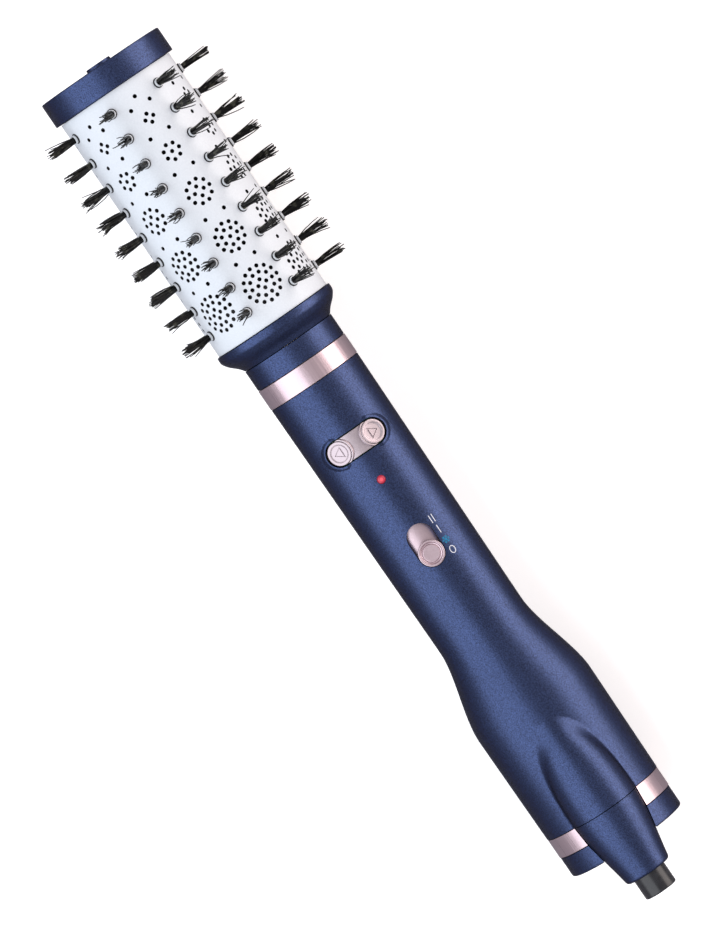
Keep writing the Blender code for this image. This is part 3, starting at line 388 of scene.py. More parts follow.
def midnight_lacquer():
    """Dark blue metallic lacquer with a flake fine enough to read as grain."""
    sockets = {"Coat Weight": 0.5, "Coat Roughness": 0.38, "Specular Tint": (0.10, 0.12, 0.2, 1.0)}
    material = new_material("midnight_lacquer", (0.02, 0.04, 0.12), 0.38, 1.0, sockets)
    flake = add_noise(material, 2400, 1.0)
    vary_colour(material, flake, (0.007, 0.016, 0.056), (0.032, 0.056, 0.155), 0.34, 0.66)
    add_bump(material, flake, 0.00003, 0.35)
    drift = add_noise(material, 700, 2.0)
    vary_roughness(material, drift, 0.34, 0.42)
    return material


def rose_gold(name, roughness, streaks, low=(0.53, 0.42, 0.46), high=(0.59, 0.47, 0.51)):
    """Pale pink metallised plastic. Streaks run along the brush on the turned bands."""
    material = new_material(name, (0.58, 0.44, 0.49), roughness, 1.0)
    stretch = (0.02, 1, 1) if streaks else (1, 1, 1)
    grain = add_noise(material, 2200 if streaks else 3200, 2.0, stretch)
    vary_colour(material, grain, low, high)
    vary_roughness(material, grain, roughness - 0.05, roughness + 0.06)
    add_bump(material, grain, 0.00001, 0.2)
    return material


def pearl():
    """Bluish white pearl coating on the barrel."""
    sockets = {"Sheen Weight": 0.7, "Sheen Roughness": 0.35, "Specular IOR Level": 0.3}
    material = new_material("pearl_coating", (0.65, 0.69, 0.74), 0.42, 0.0, sockets)
    mottle = add_noise(material, 1500, 2.0)
    vary_colour(material, mottle, (0.62, 0.665, 0.715), (0.66, 0.705, 0.755))
    add_bump(material, mottle, 0.00001, 0.15)
    return material


def grained(name, colour, roughness, metallic=0.0, scale=1200, spread=0.25, bump=0.00002, sockets=None):
    """A moulded or drawn surface whose colour and roughness wander a little."""
    material = new_material(name, colour, roughness, metallic, sockets)
    grain = add_noise(material, scale, 3.0)
    low, high = (tuple(min(1.0, c * share) for c in colour) for share in (1 - spread, 1 + spread))
    vary_colour(material, grain, low, high)
    vary_roughness(material, grain, roughness * 0.85, min(1.0, roughness * 1.2))
    add_bump(material, grain, bump, 0.3)
    return material


def bristle_nylon():
    """Black nylon, with a few bristles painted yellowish grey as painted highlights, the glints of light on
    black bristles.
    """
    material = new_material("bristle_nylon", (0.004, 0.004, 0.004), 0.42, 0.0, {"Specular IOR Level": 0.25})
    # Noise picks the bristles that are painted yellowish grey as highlights
    painted_glint_pick = add_noise(material, 420, 0.0)
    vary_colour(material, painted_glint_pick, (0.003, 0.003, 0.003), (0.055, 0.055, 0.042), 0.60, 0.72)
    return material


def lit_lens():
    """Clear red plastic, lit from below: pink in the middle and deep red at the rim."""
    material = new_material("red_lens", (0.22, 0.008, 0.02), 0.2, 0.0, {"Coat Weight": 0.3})
    shader = material.node_tree.nodes["Principled BSDF"]
    shader.inputs["Emission Strength"].default_value = 0.9
    coordinates = new_node(material, "TexCoord")
    offset = new_node(material, "VectorMath", {1: (LENS_ALONG, 0.0, 0.0)})
    flat = new_node(material, "VectorMath", {1: (1.0, 1.0, 0.0)})
    flat.operation = "MULTIPLY"
    length = new_node(material, "VectorMath")
    length.operation = "LENGTH"
    ramp = new_node(material, "MapRange", {"From Max": LENS_RADIUS})
    glow = new_node(material, "ValToRGB")
    set_ramp(glow, (0.85, 0.13, 0.16), (0.30, 0.015, 0.04), 0.30, 0.70)
    wire(material, (coordinates, "Object", offset, 0), (offset, "Vector", flat, 0),
         (flat, "Vector", length, 0), (length, "Value", ramp, "Value"),
         (ramp, "Result", glow, "Fac"), (glow, "Color", shader, "Emission Color"))
    return material


def floor_paper():
    """White paper that glows a little where seen directly and is dimmer where only reflected."""
    material = new_material("floor_paper", (0.90, 0.90, 0.90), 0.95)
    grain = add_noise(material, 300, 2.0)
    vary_colour(material, grain, (0.895, 0.895, 0.895), (0.905, 0.905, 0.905))
    nodes = material.node_tree.nodes
    shader = nodes["Principled BSDF"]
    set_inputs(shader, {"Emission Color": (1, 1, 1, 1), "Emission Strength": 0.35})
    dim = new_node(material, "BsdfDiffuse", {"Color": (0.30, 0.29, 0.31, 1)})
    path = new_node(material, "LightPath")
    mix = new_node(material, "MixShader")
    wire(material, (path, "Is Camera Ray", mix, "Fac"), (dim, "BSDF", mix, 1), (shader, "BSDF", mix, 2),
         (mix, "Shader", nodes["Material Output"], "Surface"))
    return material


def make_finishes():
    """Every finish by name. One with the name of a CAD material slot is what that slot shows."""
    clear = {"Transmission Weight": 0.2}
    return {
        "midnight_blue": midnight_lacquer(),
        "band": rose_gold("rose_gold_band", 0.32, True),
        "rose_gold": rose_gold("rose_gold_satin", 0.38, False),
        "button": rose_gold("rose_gold_button", 0.46, False, (0.43, 0.37, 0.40), (0.49, 0.42, 0.45)),
        "pearl_barrel": pearl(),
        # Near black: the tuft strips and grommet rims, and painted shade on the barrel's inner wall, its hole
        # throats and the sleeve behind them
        "inside": grained("black_parts_and_painted_shade", (0.012, 0.012, 0.014), 0.8),
        "bristle_nylon": bristle_nylon(),
        "grommet": grained("grommet_clear", (0.66, 0.70, 0.74), 0.12, 0.0, 700, 0.12, sockets=clear),
        "gloss_black": grained("gloss_black", (0.009, 0.010, 0.013), 0.27, 0.0, 500, 0.2, 0.000003),
        "switch_black": grained("matt_black", (0.018, 0.018, 0.020), 0.5),
        "grey_nylon": grained("grey_nylon", (0.11, 0.11, 0.12), 0.55),
        "steel": grained("drawn_steel", (0.55, 0.56, 0.58), 0.28, 1.0, 800, 0.12),
        "brass": grained("turned_brass", (0.72, 0.52, 0.22), 0.25, 1.0, 800, 0.12),
        "white_acetal": grained("white_acetal", (0.74, 0.74, 0.70), 0.4, 0.0, 400, 0.05),
        "board_green": grained("solder_mask", (0.02, 0.15, 0.06), 0.35, 0.0, 300, 0.3),
        "mica": grained("mica_sheet", (0.50, 0.43, 0.31), 0.5, 0.0, 250, 0.3),
        "red_lens": lit_lens(),
        "lead_rubber": grained("lead_rubber", (0.02, 0.02, 0.02), 0.6),
        "white_ink": grained("white_ink", (0.62, 0.64, 0.70), 0.5, 0.0, 900, 0.06),
        "teal_ink": grained("teal_ink", (0.003, 0.17, 0.33), 0.8, 0.0, 900, 0.15),
        "floor_paper": floor_paper(),
    }


finishes = make_finishes()


# ---- Mesh helpers ----


def face_outwards(mesh, weld=0.0):
    """Turns every face outwards, after joining the points that are closer than the weld."""
    work = bmesh.new()
    work.from_mesh(mesh)
    if weld:
        bmesh.ops.remove_doubles(work, verts=work.verts, dist=weld)
    bmesh.ops.recalc_face_normals(work, faces=work.faces)
    work.to_mesh(mesh)
    work.free()


def add_piece(name, finish, points, faces, sharp=35):
    """A new object. A cutting tool has no finish."""
    mesh = bpy.data.meshes.new(name)
    mesh.from_pydata([Vector(p) for p in points], [], faces)
    face_outwards(mesh)
    mesh.shade_smooth()
    mesh.set_sharp_from_angle(angle=math.radians(sharp))
    obj = bpy.data.objects.new(name, mesh)
    bpy.context.scene.collection.objects.link(obj)
    if finish:
        mesh.materials.append(finishes[finish])
    return obj


def finish_piece(obj, body, slot, *nodes):
    """Evens out the shading, hands the piece to its CAD body and hides the CAD nodes that it replaces. The
    slot is not used.
    """
    if not obj.data.has_custom_normals:
        modifier = obj.modifiers.new("Weighted Normal", "WEIGHTED_NORMAL")
        modifier.keep_sharp = True
    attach(obj, body)
    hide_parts(*nodes)
    return obj


def polar(radius, angle):
    return radius * math.cos(angle), radius * math.sin(angle)


def circle(radius, sides, start=0.0):
    return [polar(radius, start + math.tau * i / sides) for i in range(sides)]


def rectangle(start, end, half):
    return [(start, -half), (end, -half), (end, half), (start, half)]


def ring_faces(first, second):
    """The quads between two rings of points, each given as the indices round it."""
    return [[first[i - 1], first[i], second[i], second[i - 1]] for i in [*range(1, len(first)), 0]]


def filleted(outline, steps=4):
    """Rounds the corners of a closed outline. A corner is (along, radius) or (along, radius, fillet)."""
    rounded = []
    count = len(outline)
    for i, corner in enumerate(outline):
        here = Vector(corner[:2])
        fillet = corner[2] if len(corner) > 2 else 0.0
        if fillet == 0.0:
            rounded.append(tuple(here))
            continue
        before = (Vector(outline[i - 1][:2]) - here).normalized() * fillet + here
        after = (Vector(outline[(i + 1) % count][:2]) - here).normalized() * fillet + here
        for step in range(steps + 1):
            t = step / steps
            rounded.append(tuple(before * (1 - t) ** 2 + here * 2 * t * (1 - t) + after * t * t))
    return rounded


def tube(low, high, inner, outer, edge=0.0):
    """The section of a plain ring, with this fillet on its two outer edges."""
    return [(low, inner), (low, outer, edge), (high, outer, edge), (high, inner)]


def turned_mesh(outline, sides):
    """A solid turned about Z, from the (height, radius) points round its section."""
    points, rings = [], []
    for height, radius in outline:
        if radius < 1e-9:
            rings.append([len(points)])
            points.append(Vector((0.0, 0.0, height)))
        else:
            rings.append(list(range(len(points), len(points) + sides)))
            points += [Vector((x, y, height)) for x, y in circle(radius, sides)]
    faces = []
    for first, second in zip(rings, rings[1:] + rings[:1]):
        for i in range(sides):
            j = (i + 1) % sides
            low = [first[i % len(first)], first[j % len(first)]]
            high = [second[j % len(second)], second[i % len(second)]]
            corners = list(dict.fromkeys(low + high))
            if len(corners) > 2:
                faces.append(corners)
    return points, faces


def prism_faces(count):
    """The two ends and the sides of a solid whose ends have this many points."""
    low, high = list(range(count)), list(range(count, 2 * count))
    return [low, high, *ring_faces(low, high)]


def extruded_mesh(outline, low, high):
    return [Vector((x, y, z)) for z in (low, high) for x, y in outline], prism_faces(len(outline))


def cylinder(radius, sides, low, high):
    return extruded_mesh(circle(radius, sides), low, high)


def along_x(z=0.0):
    """The placement that turns a height into a distance from the tip, on an axis at height z."""
    return Matrix(((0, 0, -1, 0), (1, 0, 0, 0), (0, -1, 0, z), (0, 0, 0, 1)))


def at(along):
    return Matrix.Translation((-along, 0, 0))


def round_to(angle):
    """A placement whose Z points outwards from the main axis at this angle."""
    return Matrix.Rotation(angle, 4, "X")


def placed(mesh, placement):
    points, faces = mesh
    return [placement @ p for p in points], faces


def joined(meshes):
    points, faces = [], []
    for more_points, more_faces in meshes:
        shift = len(points)
        points += more_points
        faces += [[index + shift for index in face] for face in more_faces]
    return points, faces


def turned(name, finish, outline, sides, placement=None):
    return add_piece(name, finish, *placed(turned_mesh(filleted(outline), sides), placement or along_x()))


def combine(target, operation, mesh):
    """Runs a Boolean with one mesh now, so that nothing is left on the target."""
    other = add_piece(target.name + "_tool", None, *mesh)
    modifier = target.modifiers.new(operation.title(), "BOOLEAN")
    modifier.operation = operation
    modifier.solver = "EXACT"
    modifier.object = other
    graph = bpy.context.evaluated_depsgraph_get()
    made = bpy.data.meshes.new_from_object(target.evaluated_get(graph))
    target.modifiers.remove(modifier)
    old = target.data
    target.data = made
    bpy.data.meshes.remove(old)
    bpy.data.objects.remove(other, do_unlink=True)
    made.shade_smooth()
    made.set_sharp_from_angle(angle=math.radians(35))
    return target


def set_normals(obj, normal_at):
    """Gives each corner the surface's true normal, where that is near the face's own."""
    mesh = obj.data
    normals = []
    for polygon in mesh.polygons:
        flat = polygon.normal
        for index in polygon.vertices:
            true = normal_at(mesh.vertices[index].co)
            normals.append(true if true is not None and true.dot(flat) > 0.75 else flat)
    mesh.normals_split_custom_set([tuple(n) for n in normals])


def obround(first, second, radius, steps=16):
    """A slot outline between two centres on X or on Y."""
    across = Vector(second) - Vector(first)
    heading = math.atan2(across.y, across.x)
    points = []
    for centre, turn in ((second, -math.pi / 2), (first, math.pi / 2)):
        for i in range(steps + 1):
            x, y = polar(radius, heading + turn + math.pi * i / steps)
            points.append((centre[0] + x, centre[1] + y))
    return points


# ---- Brush head ----


def make_caps():
    plug = BARREL_RADIUS - BARREL_WALL - SEAM
    hub = CAP_BORE + CAP_WALL
    outline = [(CAP_FACE, CAP_BORE), (CAP_FACE, CAP_RADIUS, 0.0007), (CAP_END, CAP_RADIUS, 0.0003)]
    outline += [(CAP_END, plug), (PLUG_END, plug), (PLUG_END, plug - CAP_WALL), (CAP_FLOOR, plug - CAP_WALL)]
    outline += [(CAP_FLOOR, hub), (CAP_END, hub), (CAP_END, CAP_BORE)]
    cap = turned("end_cap_shell", "midnight_blue", outline, 160)
    finish_piece(cap, "brush", "midnight_blue", "end_cap")
    disc = turned("tip_cap_disc", "midnight_blue", TIP_SHAPE, 64)
    finish_piece(disc, "brush", "midnight_blue", "tip_cap")


def air_hole_centres():
    """Each air hole of one column as (along, side), with side measured round the barrel from its middle."""
    centres = [(LONE_HOLE_ALONG, 0.0)]
    for along in PAIRS_ALONG:
        centres += [(along, -PAIR_SIDE), (along, PAIR_SIDE)]
    for along, middle, rings in CLUSTERS:
        if middle:
            centres.append((along, 0.0))
        for count, radius, start in rings:
            centres += [(along + dx, dy) for dx, dy in circle(radius, count, math.radians(start))]
    return centres


def inside(point, circles):
    return any((point[0] - x) ** 2 + (point[1] - y) ** 2 < radius * radius for x, y, radius in circles)


def barrel_sheet():
    """One column of the wall unrolled: its points, its triangles, and the index loop round each hole."""
    width = BARREL_RADIUS * ROW_PITCH
    low = -SHEET_SIDE
    holes = [(along, side, AIR_HOLE_RADIUS, AIR_HOLE_SIDES) for along, side in air_hole_centres()]
    for i in range(TUFT_COUNT):
        holes.append((TUFT_FIRST + TUFT_PITCH * i, width / 2, BOSS_HOLE_RADIUS, BOSS_HOLE_SIDES))
    length = BARREL_END - BARREL_START
    columns, rows = SHEET_COLUMNS, SHEET_ROWS
    edge = [(BARREL_START + length * i / rows, low) for i in range(rows)]
    edge += [(BARREL_END, low + width * j / columns) for j in range(columns)]
    edge += [(BARREL_END - length * i / rows, low + width) for i in range(rows)]
    edge += [(BARREL_START, low + width - width * j / columns) for j in range(columns)]
    points = list(edge)
    edges = [(i, (i + 1) % len(edge)) for i in range(len(edge))]
    loops = []
    for x, y, radius, sides in holes:
        first = len(points)
        loops.append((list(range(first, first + sides)), x, y, radius))
        points += [(x + dx, y + dy) for dx, dy in circle(radius + HOLE_BEVEL, sides)]
        edges += [(first + i, first + (i + 1) % sides) for i in range(sides)]
    clear = [(x, y, radius + 2.5 * HOLE_BEVEL) for x, y, radius, _ in holes]
    for i in range(1, rows):
        for j in range(1, columns):
            spot = (BARREL_START + length * i / rows, low + width * j / columns)
            if not inside(spot, clear):
                points.append(spot)
    made, _, triangles, *_ = delaunay_2d_cdt([Vector(p) for p in points], edges, [], 0, 1e-9)
    voids = [(x, y, radius + HOLE_BEVEL) for x, y, radius, _ in holes]
    kept = []
    for triangle in triangles:
        middle = sum((made[i] for i in triangle), Vector((0, 0))) / 3
        if not inside(middle, voids):
            kept.append(list(triangle))
    return [tuple(p) for p in made], kept, loops


def wrapped(radius, flat, turn):
    """A flat point of the sheet, wrapped onto the barrel at this radius."""
    angle = turn + flat[1] / BARREL_RADIUS
    return Vector((-flat[0], -radius * math.sin(angle), radius * math.cos(angle)))


def make_barrel():
    """The perforated wall: the sheet wrapped once a column, outside and inside, with bevelled holes."""
    flat, triangles, loops = barrel_sheet()
    inner_radius = BARREL_RADIUS - BARREL_WALL
    points, faces = [], []
    for column in range(ROW_COUNT):
        turn = ROW_PHASE + (column + 0.5) * ROW_PITCH
        outer = len(points)
        points += [wrapped(BARREL_RADIUS, p, turn) for p in flat]
        inner = len(points)
        points += [wrapped(inner_radius, p, turn) for p in flat]
        faces += [[outer + i for i in triangle] for triangle in triangles]
        faces += [[inner + i for i in reversed(triangle)] for triangle in triangles]
        for loop, x, y, radius in loops:
            count = len(loop)
            throat = [(x + dx, y + dy) for dx, dy in circle(radius, count)]
            rings = [[outer + i for i in loop]]
            for depth in (BARREL_RADIUS - HOLE_BEVEL, inner_radius + HOLE_BEVEL):
                rings.append(list(range(len(points), len(points) + count)))
                points += [wrapped(depth, p, turn) for p in throat]
            rings.append([inner + i for i in loop])
            faces += [face for pair in zip(rings, rings[1:]) for face in ring_faces(*pair)]
        # The sheet's two long edges meet their neighbours, and its ends are closed
        for along in (BARREL_START, BARREL_END):
            ends = sorted((p[1], i) for i, p in enumerate(flat) if abs(p[0] - along) < 1e-7)
            for (_, i), (_, j) in zip(ends, ends[1:]):
                faces.append([outer + i, outer + j, inner + j, inner + i])
    barrel = add_piece("barrel_wall", "pearl_barrel", points, faces, 50)
    barrel.data.materials.append(finishes["inside"])
    face_outwards(barrel.data, 1e-6)
    set_normals(barrel, lambda point: Vector((0, point.y, point.z)).normalized())
    # Faces below the skin, which are the inner wall and the hole throats, get the near-black second finish as
    # painted shade in the air holes
    skin = BARREL_RADIUS - 1.5 * HOLE_BEVEL
    for polygon in barrel.data.polygons:
        centre = polygon.center
        polygon.material_index = 0 if math.hypot(centre.y, centre.z) > skin else 1
    finish_piece(barrel, "brush", "pearl_barrel", "barrel")


def bristle(base, tip, bow, radius):
    """One bristle as a bowed tube that thins towards its tip."""
    axis = (tip - base).normalized()
    first = axis.orthogonal().normalized()
    second = axis.cross(first)
    points, rings = [], []
    for share in (0.0, 0.4, 0.75, 1.0):
        middle = base.lerp(tip, share) + bow * (4 * share * (1 - share))
        thickness = radius * (1 - 0.35 * share)
        rings.append(list(range(len(points), len(points) + BRISTLE_SIDES)))
        points += [middle + (first * x + second * y) * thickness for x, y in circle(1.0, BRISTLE_SIDES)]
    sides = [face for pair in zip(rings, rings[1:]) for face in ring_faces(*pair)]
    return points, [*sides, rings[0], rings[-1]]


def tuft_meshes(place, rng):
    """The bristles of one tuft, fanning out of their grommet, with a stray or two."""
    meshes = []
    for i in range(BRISTLES_PER_TUFT):
        turn = i * math.pi * (3 - math.sqrt(5)) + rng.uniform(-0.3, 0.3)
        share = math.sqrt((i + 0.5) / BRISTLES_PER_TUFT)
        foot = share * TUFT_FOOT
        fan = share * rng.uniform(*TUFT_FAN)
        if rng.random() < STRAY_SHARE:
            fan += rng.uniform(*STRAY_FAN)
        lean = turn + rng.uniform(-0.35, 0.35)
        reach = TUFT_REACH - rng.uniform(0.0, TUFT_RAGGED) - TUFT_CROWN * share
        base = place @ Vector((*polar(foot, turn), BARREL_RADIUS + GROMMET_DEPTH))
        tip = place @ Vector((*polar(fan, lean), reach))
        sideways = rng.uniform(0, math.tau)
        size = rng.uniform(*BRISTLE_BOW)
        bow = place.to_3x3() @ Vector((*polar(size, sideways), 0))
        meshes.append(bristle(base, tip, bow, BRISTLE_RADIUS * rng.uniform(0.85, 1.15)))
    return meshes


def make_bristle_rows():
    rng = random.Random(7)
    strip = rectangle(-STRIP_START, -STRIP_END, STRIP_HALF_WIDTH)
    grommet = turned_mesh(filleted(GROMMET_SHAPE), 24)
    rim = turned_mesh(filleted(RIM_SHAPE), 24)
    for row in range(ROW_COUNT):
        turn = round_to(ROW_PHASE + row * ROW_PITCH)
        hairs, grommets = [], []
        rims = [placed(extruded_mesh(strip, STRIP_LOW, STRIP_HIGH), turn)]
        for i in range(TUFT_COUNT):
            place = turn @ at(TUFT_FIRST + TUFT_PITCH * i)
            hairs += tuft_meshes(place, rng)
            grommets.append(placed(grommet, place))
            rims.append(placed(rim, place))
        number = row + 1
        hair = add_piece(f"bristles_{number}", "bristle_nylon", *joined(hairs), sharp=60)
        finish_piece(hair, "brush", "bristle_nylon", f"bristle_row_{number}")
        for name, finish, meshes in (("grommets", "grommet", grommets), ("grommet_rims", "inside", rims)):
            piece = add_piece(f"{name}_{number}", finish, *joined(meshes))
            finish_piece(piece, "brush", "bristle_nylon")


def make_painted_shade_sleeve():
    """A near-black sleeve inside the barrel, which is painted shade: it keeps light from behind out of the
    air holes so that they show dark.
    """
    outline = tube(SHADE_SLEEVE_START, SHADE_SLEEVE_END, SHADE_SLEEVE_RADIUS - SHADE_SLEEVE_WALL, SHADE_SLEEVE_RADIUS)
    finish_piece(turned("painted_shade_sleeve", "inside", outline, 96), "brush", "grey_nylon")


# ---- Neck ----


def make_neck():
    piece = turned("collar_skin", "midnight_blue", COLLAR_SHAPE, 160)
    finish_piece(piece, "handle", "midnight_blue", "barrel_collar")
    outline = tube(COLLAR_END + SEAM, NECK_END, NECK_BORE, NECK_RADIUS, 0.0001)
    piece = turned("neck_tube", "midnight_blue", outline, 160)
    finish_piece(piece, "handle", "midnight_blue", "neck_sleeve")
    outline = tube(NECK_END + SEAM, UPPER_TRIM_END, NECK_BORE, UPPER_TRIM_RADIUS, TRIM_EDGE)
    piece = turned("upper_band", "band", outline, 160)
    finish_piece(piece, "handle", "rose_gold", "upper_trim_ring")


# ---- Casings ----


def body_radius(along):
    """The casing's outer radius, without the cord fairing."""
    if along < FLARE_START:
        share = (along - CASING_START) / (FLARE_START - CASING_START)
        return NECK_RADIUS + share * (GRIP_END_RADIUS - NECK_RADIUS)
    if along < FLARE_END:
        share = (along - FLARE_START) / (FLARE_END - FLARE_START)
        eased = 0.4 * share + 0.6 * share * share * (3 - 2 * share)
        return GRIP_END_RADIUS + eased * (BULGE_RADIUS - GRIP_END_RADIUS)
    share = (along - FLARE_END) / (CASING_END - FLARE_END)
    return BULGE_RADIUS + share * (BULGE_END_RADIUS - BULGE_RADIUS)


def eased_radius(along):
    """The body radius with the flare's two corners rounded off."""
    shifts = [-2, -1, 0, 1, 2]
    alongs = [min(CASING_END, max(CASING_START, along + FLARE_SOFTNESS * s / 2)) for s in shifts]
    weights = (1, 4, 6, 4, 1)
    return sum(w * body_radius(a) for w, a in zip(weights, alongs)) / sum(weights)


def fairing_reach(along, angle):
    """How far out the cord fairing's surface is at this angle from +Z, or 0 where it has none."""
    share = min(0.0, (along - FAIRING_BACK) / FAIRING_LENGTH)
    radius = FAIRING_RADIUS * math.sqrt(max(0.0, 1 - share * share))
    side = BOOT_OFFSET * math.sin(angle)
    if abs(side) >= radius:
        return 0.0
    return BOOT_OFFSET * math.cos(angle) + math.sqrt(radius * radius - side * side)


def casing_radius(along, angle, fairing):
    """The outer surface, with a soft crease where the fairing leaves the body."""
    body = eased_radius(along)
    reach = fairing_reach(along, angle) if fairing else 0.0
    nose = min(1.0, max(0.0, (FAIRING_BACK - along) / FAIRING_LENGTH))
    soft = CREASE + NOSE_CREASE * nose * nose
    overlap = max(0.0, soft - abs(body - reach))
    return max(body, reach) + overlap * overlap / (4 * soft)


def surface_height(along, side):
    """The grip's outer surface above the point this far to the side of the centre line."""
    return math.sqrt(body_radius(along) ** 2 - side * side)


def spread(low, high, step):
    count = max(1, round((high - low) / step))
    return [low + (high - low) * i / count for i in range(count)]


def make_shell(name, facing):
    """Half of the casing, split along its sides, with its wall inside the outer surface."""
    stations = [along for span in SHELL_SPANS for along in spread(*span)] + [CASING_END]
    angles = [math.radians(-90 + 180 * i / SHELL_STEPS) for i in range(SHELL_STEPS + 1)]
    points = []
    for along in stations:
        ring = [(casing_radius(along, angle, facing > 0), angle) for angle in angles]
        ring += [(radius - CASING_WALL, angle) for radius, angle in reversed(ring)]
        for radius, angle in ring:
            height = max(radius * math.cos(angle), SEAM / 2)
            points.append((-along, -radius * math.sin(angle), facing * height))
    size = 2 * len(angles)
    rings = [range(row * size, (row + 1) * size) for row in range(len(stations))]
    faces = [face for pair in zip(rings, rings[1:]) for face in ring_faces(*pair)]
    for base in (0, (len(stations) - 1) * size):
        for i in range(len(angles) - 1):
            faces.append([base + i, base + i + 1, base + size - 2 - i, base + size - 1 - i])
    return add_piece(name, "midnight_blue", points, faces)


def casing_normal(fairing):
    """A function giving the outer surface's normal at a point on it, or nothing at a point off it."""

    def normal_at(point):
        along = -point.x
        angle = math.atan2(-point.y, abs(point.z))
        radius = math.hypot(point.y, point.z)
        here = casing_radius(along, angle, fairing)
        if abs(radius - here) > 0.00002:
            return None
        slopes = []
        for step, turn, size in ((1e-4, 0, 1e-4), (0, 0.002, 0.002 * radius)):
            ahead = casing_radius(along + step, angle + turn, fairing)
            behind = casing_radius(along - step, angle - turn, fairing)
            slopes.append((ahead - behind) / (2 * size))
        slope_x, slope_turn = slopes
        side, up = -math.sin(angle), math.cos(angle)
        normal = Vector((slope_x, side + slope_turn * up, up - slope_turn * side))
        if point.z < 0:
            normal.z = -normal.z
        return normal.normalized()

    return normal_at


def pill_outline(radius):
    """The outline round both buttons, as points on the plane in front of the grip."""
    return obround((-BUTTON_ALONG, -BUTTON_SIDE), (-BUTTON_ALONG, BUTTON_SIDE), radius)


def slot_outline(radius):
    return obround((-SWITCH_OFF, 0), (-SWITCH_OFF + SWITCH_TRAVEL, 0), radius)


def make_front_shell():
    shell = make_shell("front_shell", 1)
    cuts = [extruded_mesh(pill_outline(PILL_RADIUS), CUT_LOW, CUT_HIGH)]
    cuts.append(extruded_mesh(slot_outline(SWITCH_RADIUS + SWITCH_CLEARANCE), CUT_LOW, CUT_HIGH))
    cuts.append(placed(cylinder(LENS_RADIUS + SEAM, 40, CUT_LOW, CUT_HIGH), at(LENS_ALONG)))
    combine(shell, "DIFFERENCE", joined(cuts))
    set_normals(shell, casing_normal(True))
    finish_piece(shell, "handle", "midnight_blue", "front_casing")


def make_rear_shell():
    shell = make_shell("rear_shell", -1)
    posts, wells, shanks = [], [], []
    for along in SCREWS_ALONG:
        place = at(along)
        floor = -body_radius(along) + CASING_WALL - POST_ROOT
        posts.append(placed(cylinder(POST_RADIUS, 48, floor, -SEAM / 2), place))
        wells.append(placed(cylinder(SCREW_HEAD_RADIUS + SEAM, 40, -TRIM_HIGH, SCREW_SEAT), place))
        shanks.append(placed(cylinder(SCREW_RADIUS + SEAM, 24, SCREW_SEAT - OVERRUN, OVERRUN), place))
    combine(shell, "UNION", joined(posts))
    combine(shell, "DIFFERENCE", joined(wells))
    combine(shell, "DIFFERENCE", joined(shanks))
    set_normals(shell, casing_normal(False))
    finish_piece(shell, "handle", "midnight_blue", "rear_casing")


def make_pill_lip():
    """A closed ring round both buttons, following the grip's curve."""
    outline = pill_outline(PILL_RADIUS)
    points, faces = [], []
    count = len(outline)
    size = len(LIP_SECTION)
    for i, (x, y) in enumerate(outline):
        ahead, behind = Vector(outline[(i + 1) % count]), Vector(outline[i - 1])
        heading = (ahead - behind).normalized()
        outwards = Vector((heading.y, -heading.x))
        for out, up in LIP_SECTION:
            spot = Vector((x, y)) + outwards * out
            points.append(Vector((spot.x, spot.y, surface_height(-spot.x, spot.y) + up)))
    for i in range(count):
        for k in range(size):
            j, m = (i + 1) % count, (k + 1) % size
            faces.append([i * size + k, j * size + k, j * size + m, i * size + m])
    finish_piece(add_piece("pill_lip", "midnight_blue", points, faces, 60), "handle", "midnight_blue")


# ---- Tail and cord entry ----


def cut_for_boot(piece):
    """Cuts the space that the boot passes through, with a seam round it."""
    outline = [(along, radius + SEAM) for along, radius, _ in BOOT_SHAPE]
    first, last = outline[0], outline[-1]
    start = first[0] - OVERRUN
    outline = [(start, 0.0), (start, first[1]), *outline, (last[0], 0.0)]
    combine(piece, "DIFFERENCE", placed(turned_mesh(outline, 128), along_x(BOOT_OFFSET)))


def make_tail():
    outline = tube(CASING_END + SEAM, LOWER_TRIM_END, LOWER_TRIM_BORE, LOWER_TRIM_RADIUS, TRIM_EDGE)
    band = turned("lower_band", "band", outline, 180)
    cut_for_boot(band)
    finish_piece(band, "handle", "rose_gold", "lower_trim_ring")
    low = LOWER_TRIM_END + SEAM
    outline = [(low, TAIL_BORE), (low, TAIL_RADIUS, TRIM_EDGE), (TAIL_END, TAIL_RADIUS, 0.0010)]
    outline += [(TAIL_END, TAIL_BORE, 0.0004)]
    ring = turned("tail_skin", "midnight_blue", outline, 180)
    cut_for_boot(ring)
    finish_piece(ring, "handle", "midnight_blue", "tail_ring")


def make_grille():
    """The round plate inside the tail ring, with slots across it as long as its rim allows."""
    radius = TAIL_BORE - SEAM
    grille = turned("inlet_mesh", "switch_black", tube(GRILLE_START, GRILLE_END, 0.0, radius), 96)
    cut_for_boot(grille)
    slots = []
    for i in range(GRILLE_SLOTS):
        z = GRILLE_FIRST_SLOT - GRILLE_PITCH * i
        if abs(z) < radius - GRILLE_RIM:
            half = math.sqrt((radius - GRILLE_RIM) ** 2 - z * z)
            end = half - GRILLE_SLOT_HALF
            slot = obround((-end, z), (end, z), GRILLE_SLOT_HALF, 6)
            points, faces = extruded_mesh(slot, -GRILLE_END - OVERRUN, -GRILLE_START + OVERRUN)
            slots.append(([Vector((along, y, z)) for y, z, along in points], faces))
    combine(grille, "DIFFERENCE", joined(slots))
    finish_piece(grille, "handle", "switch_black", "inlet_grille")


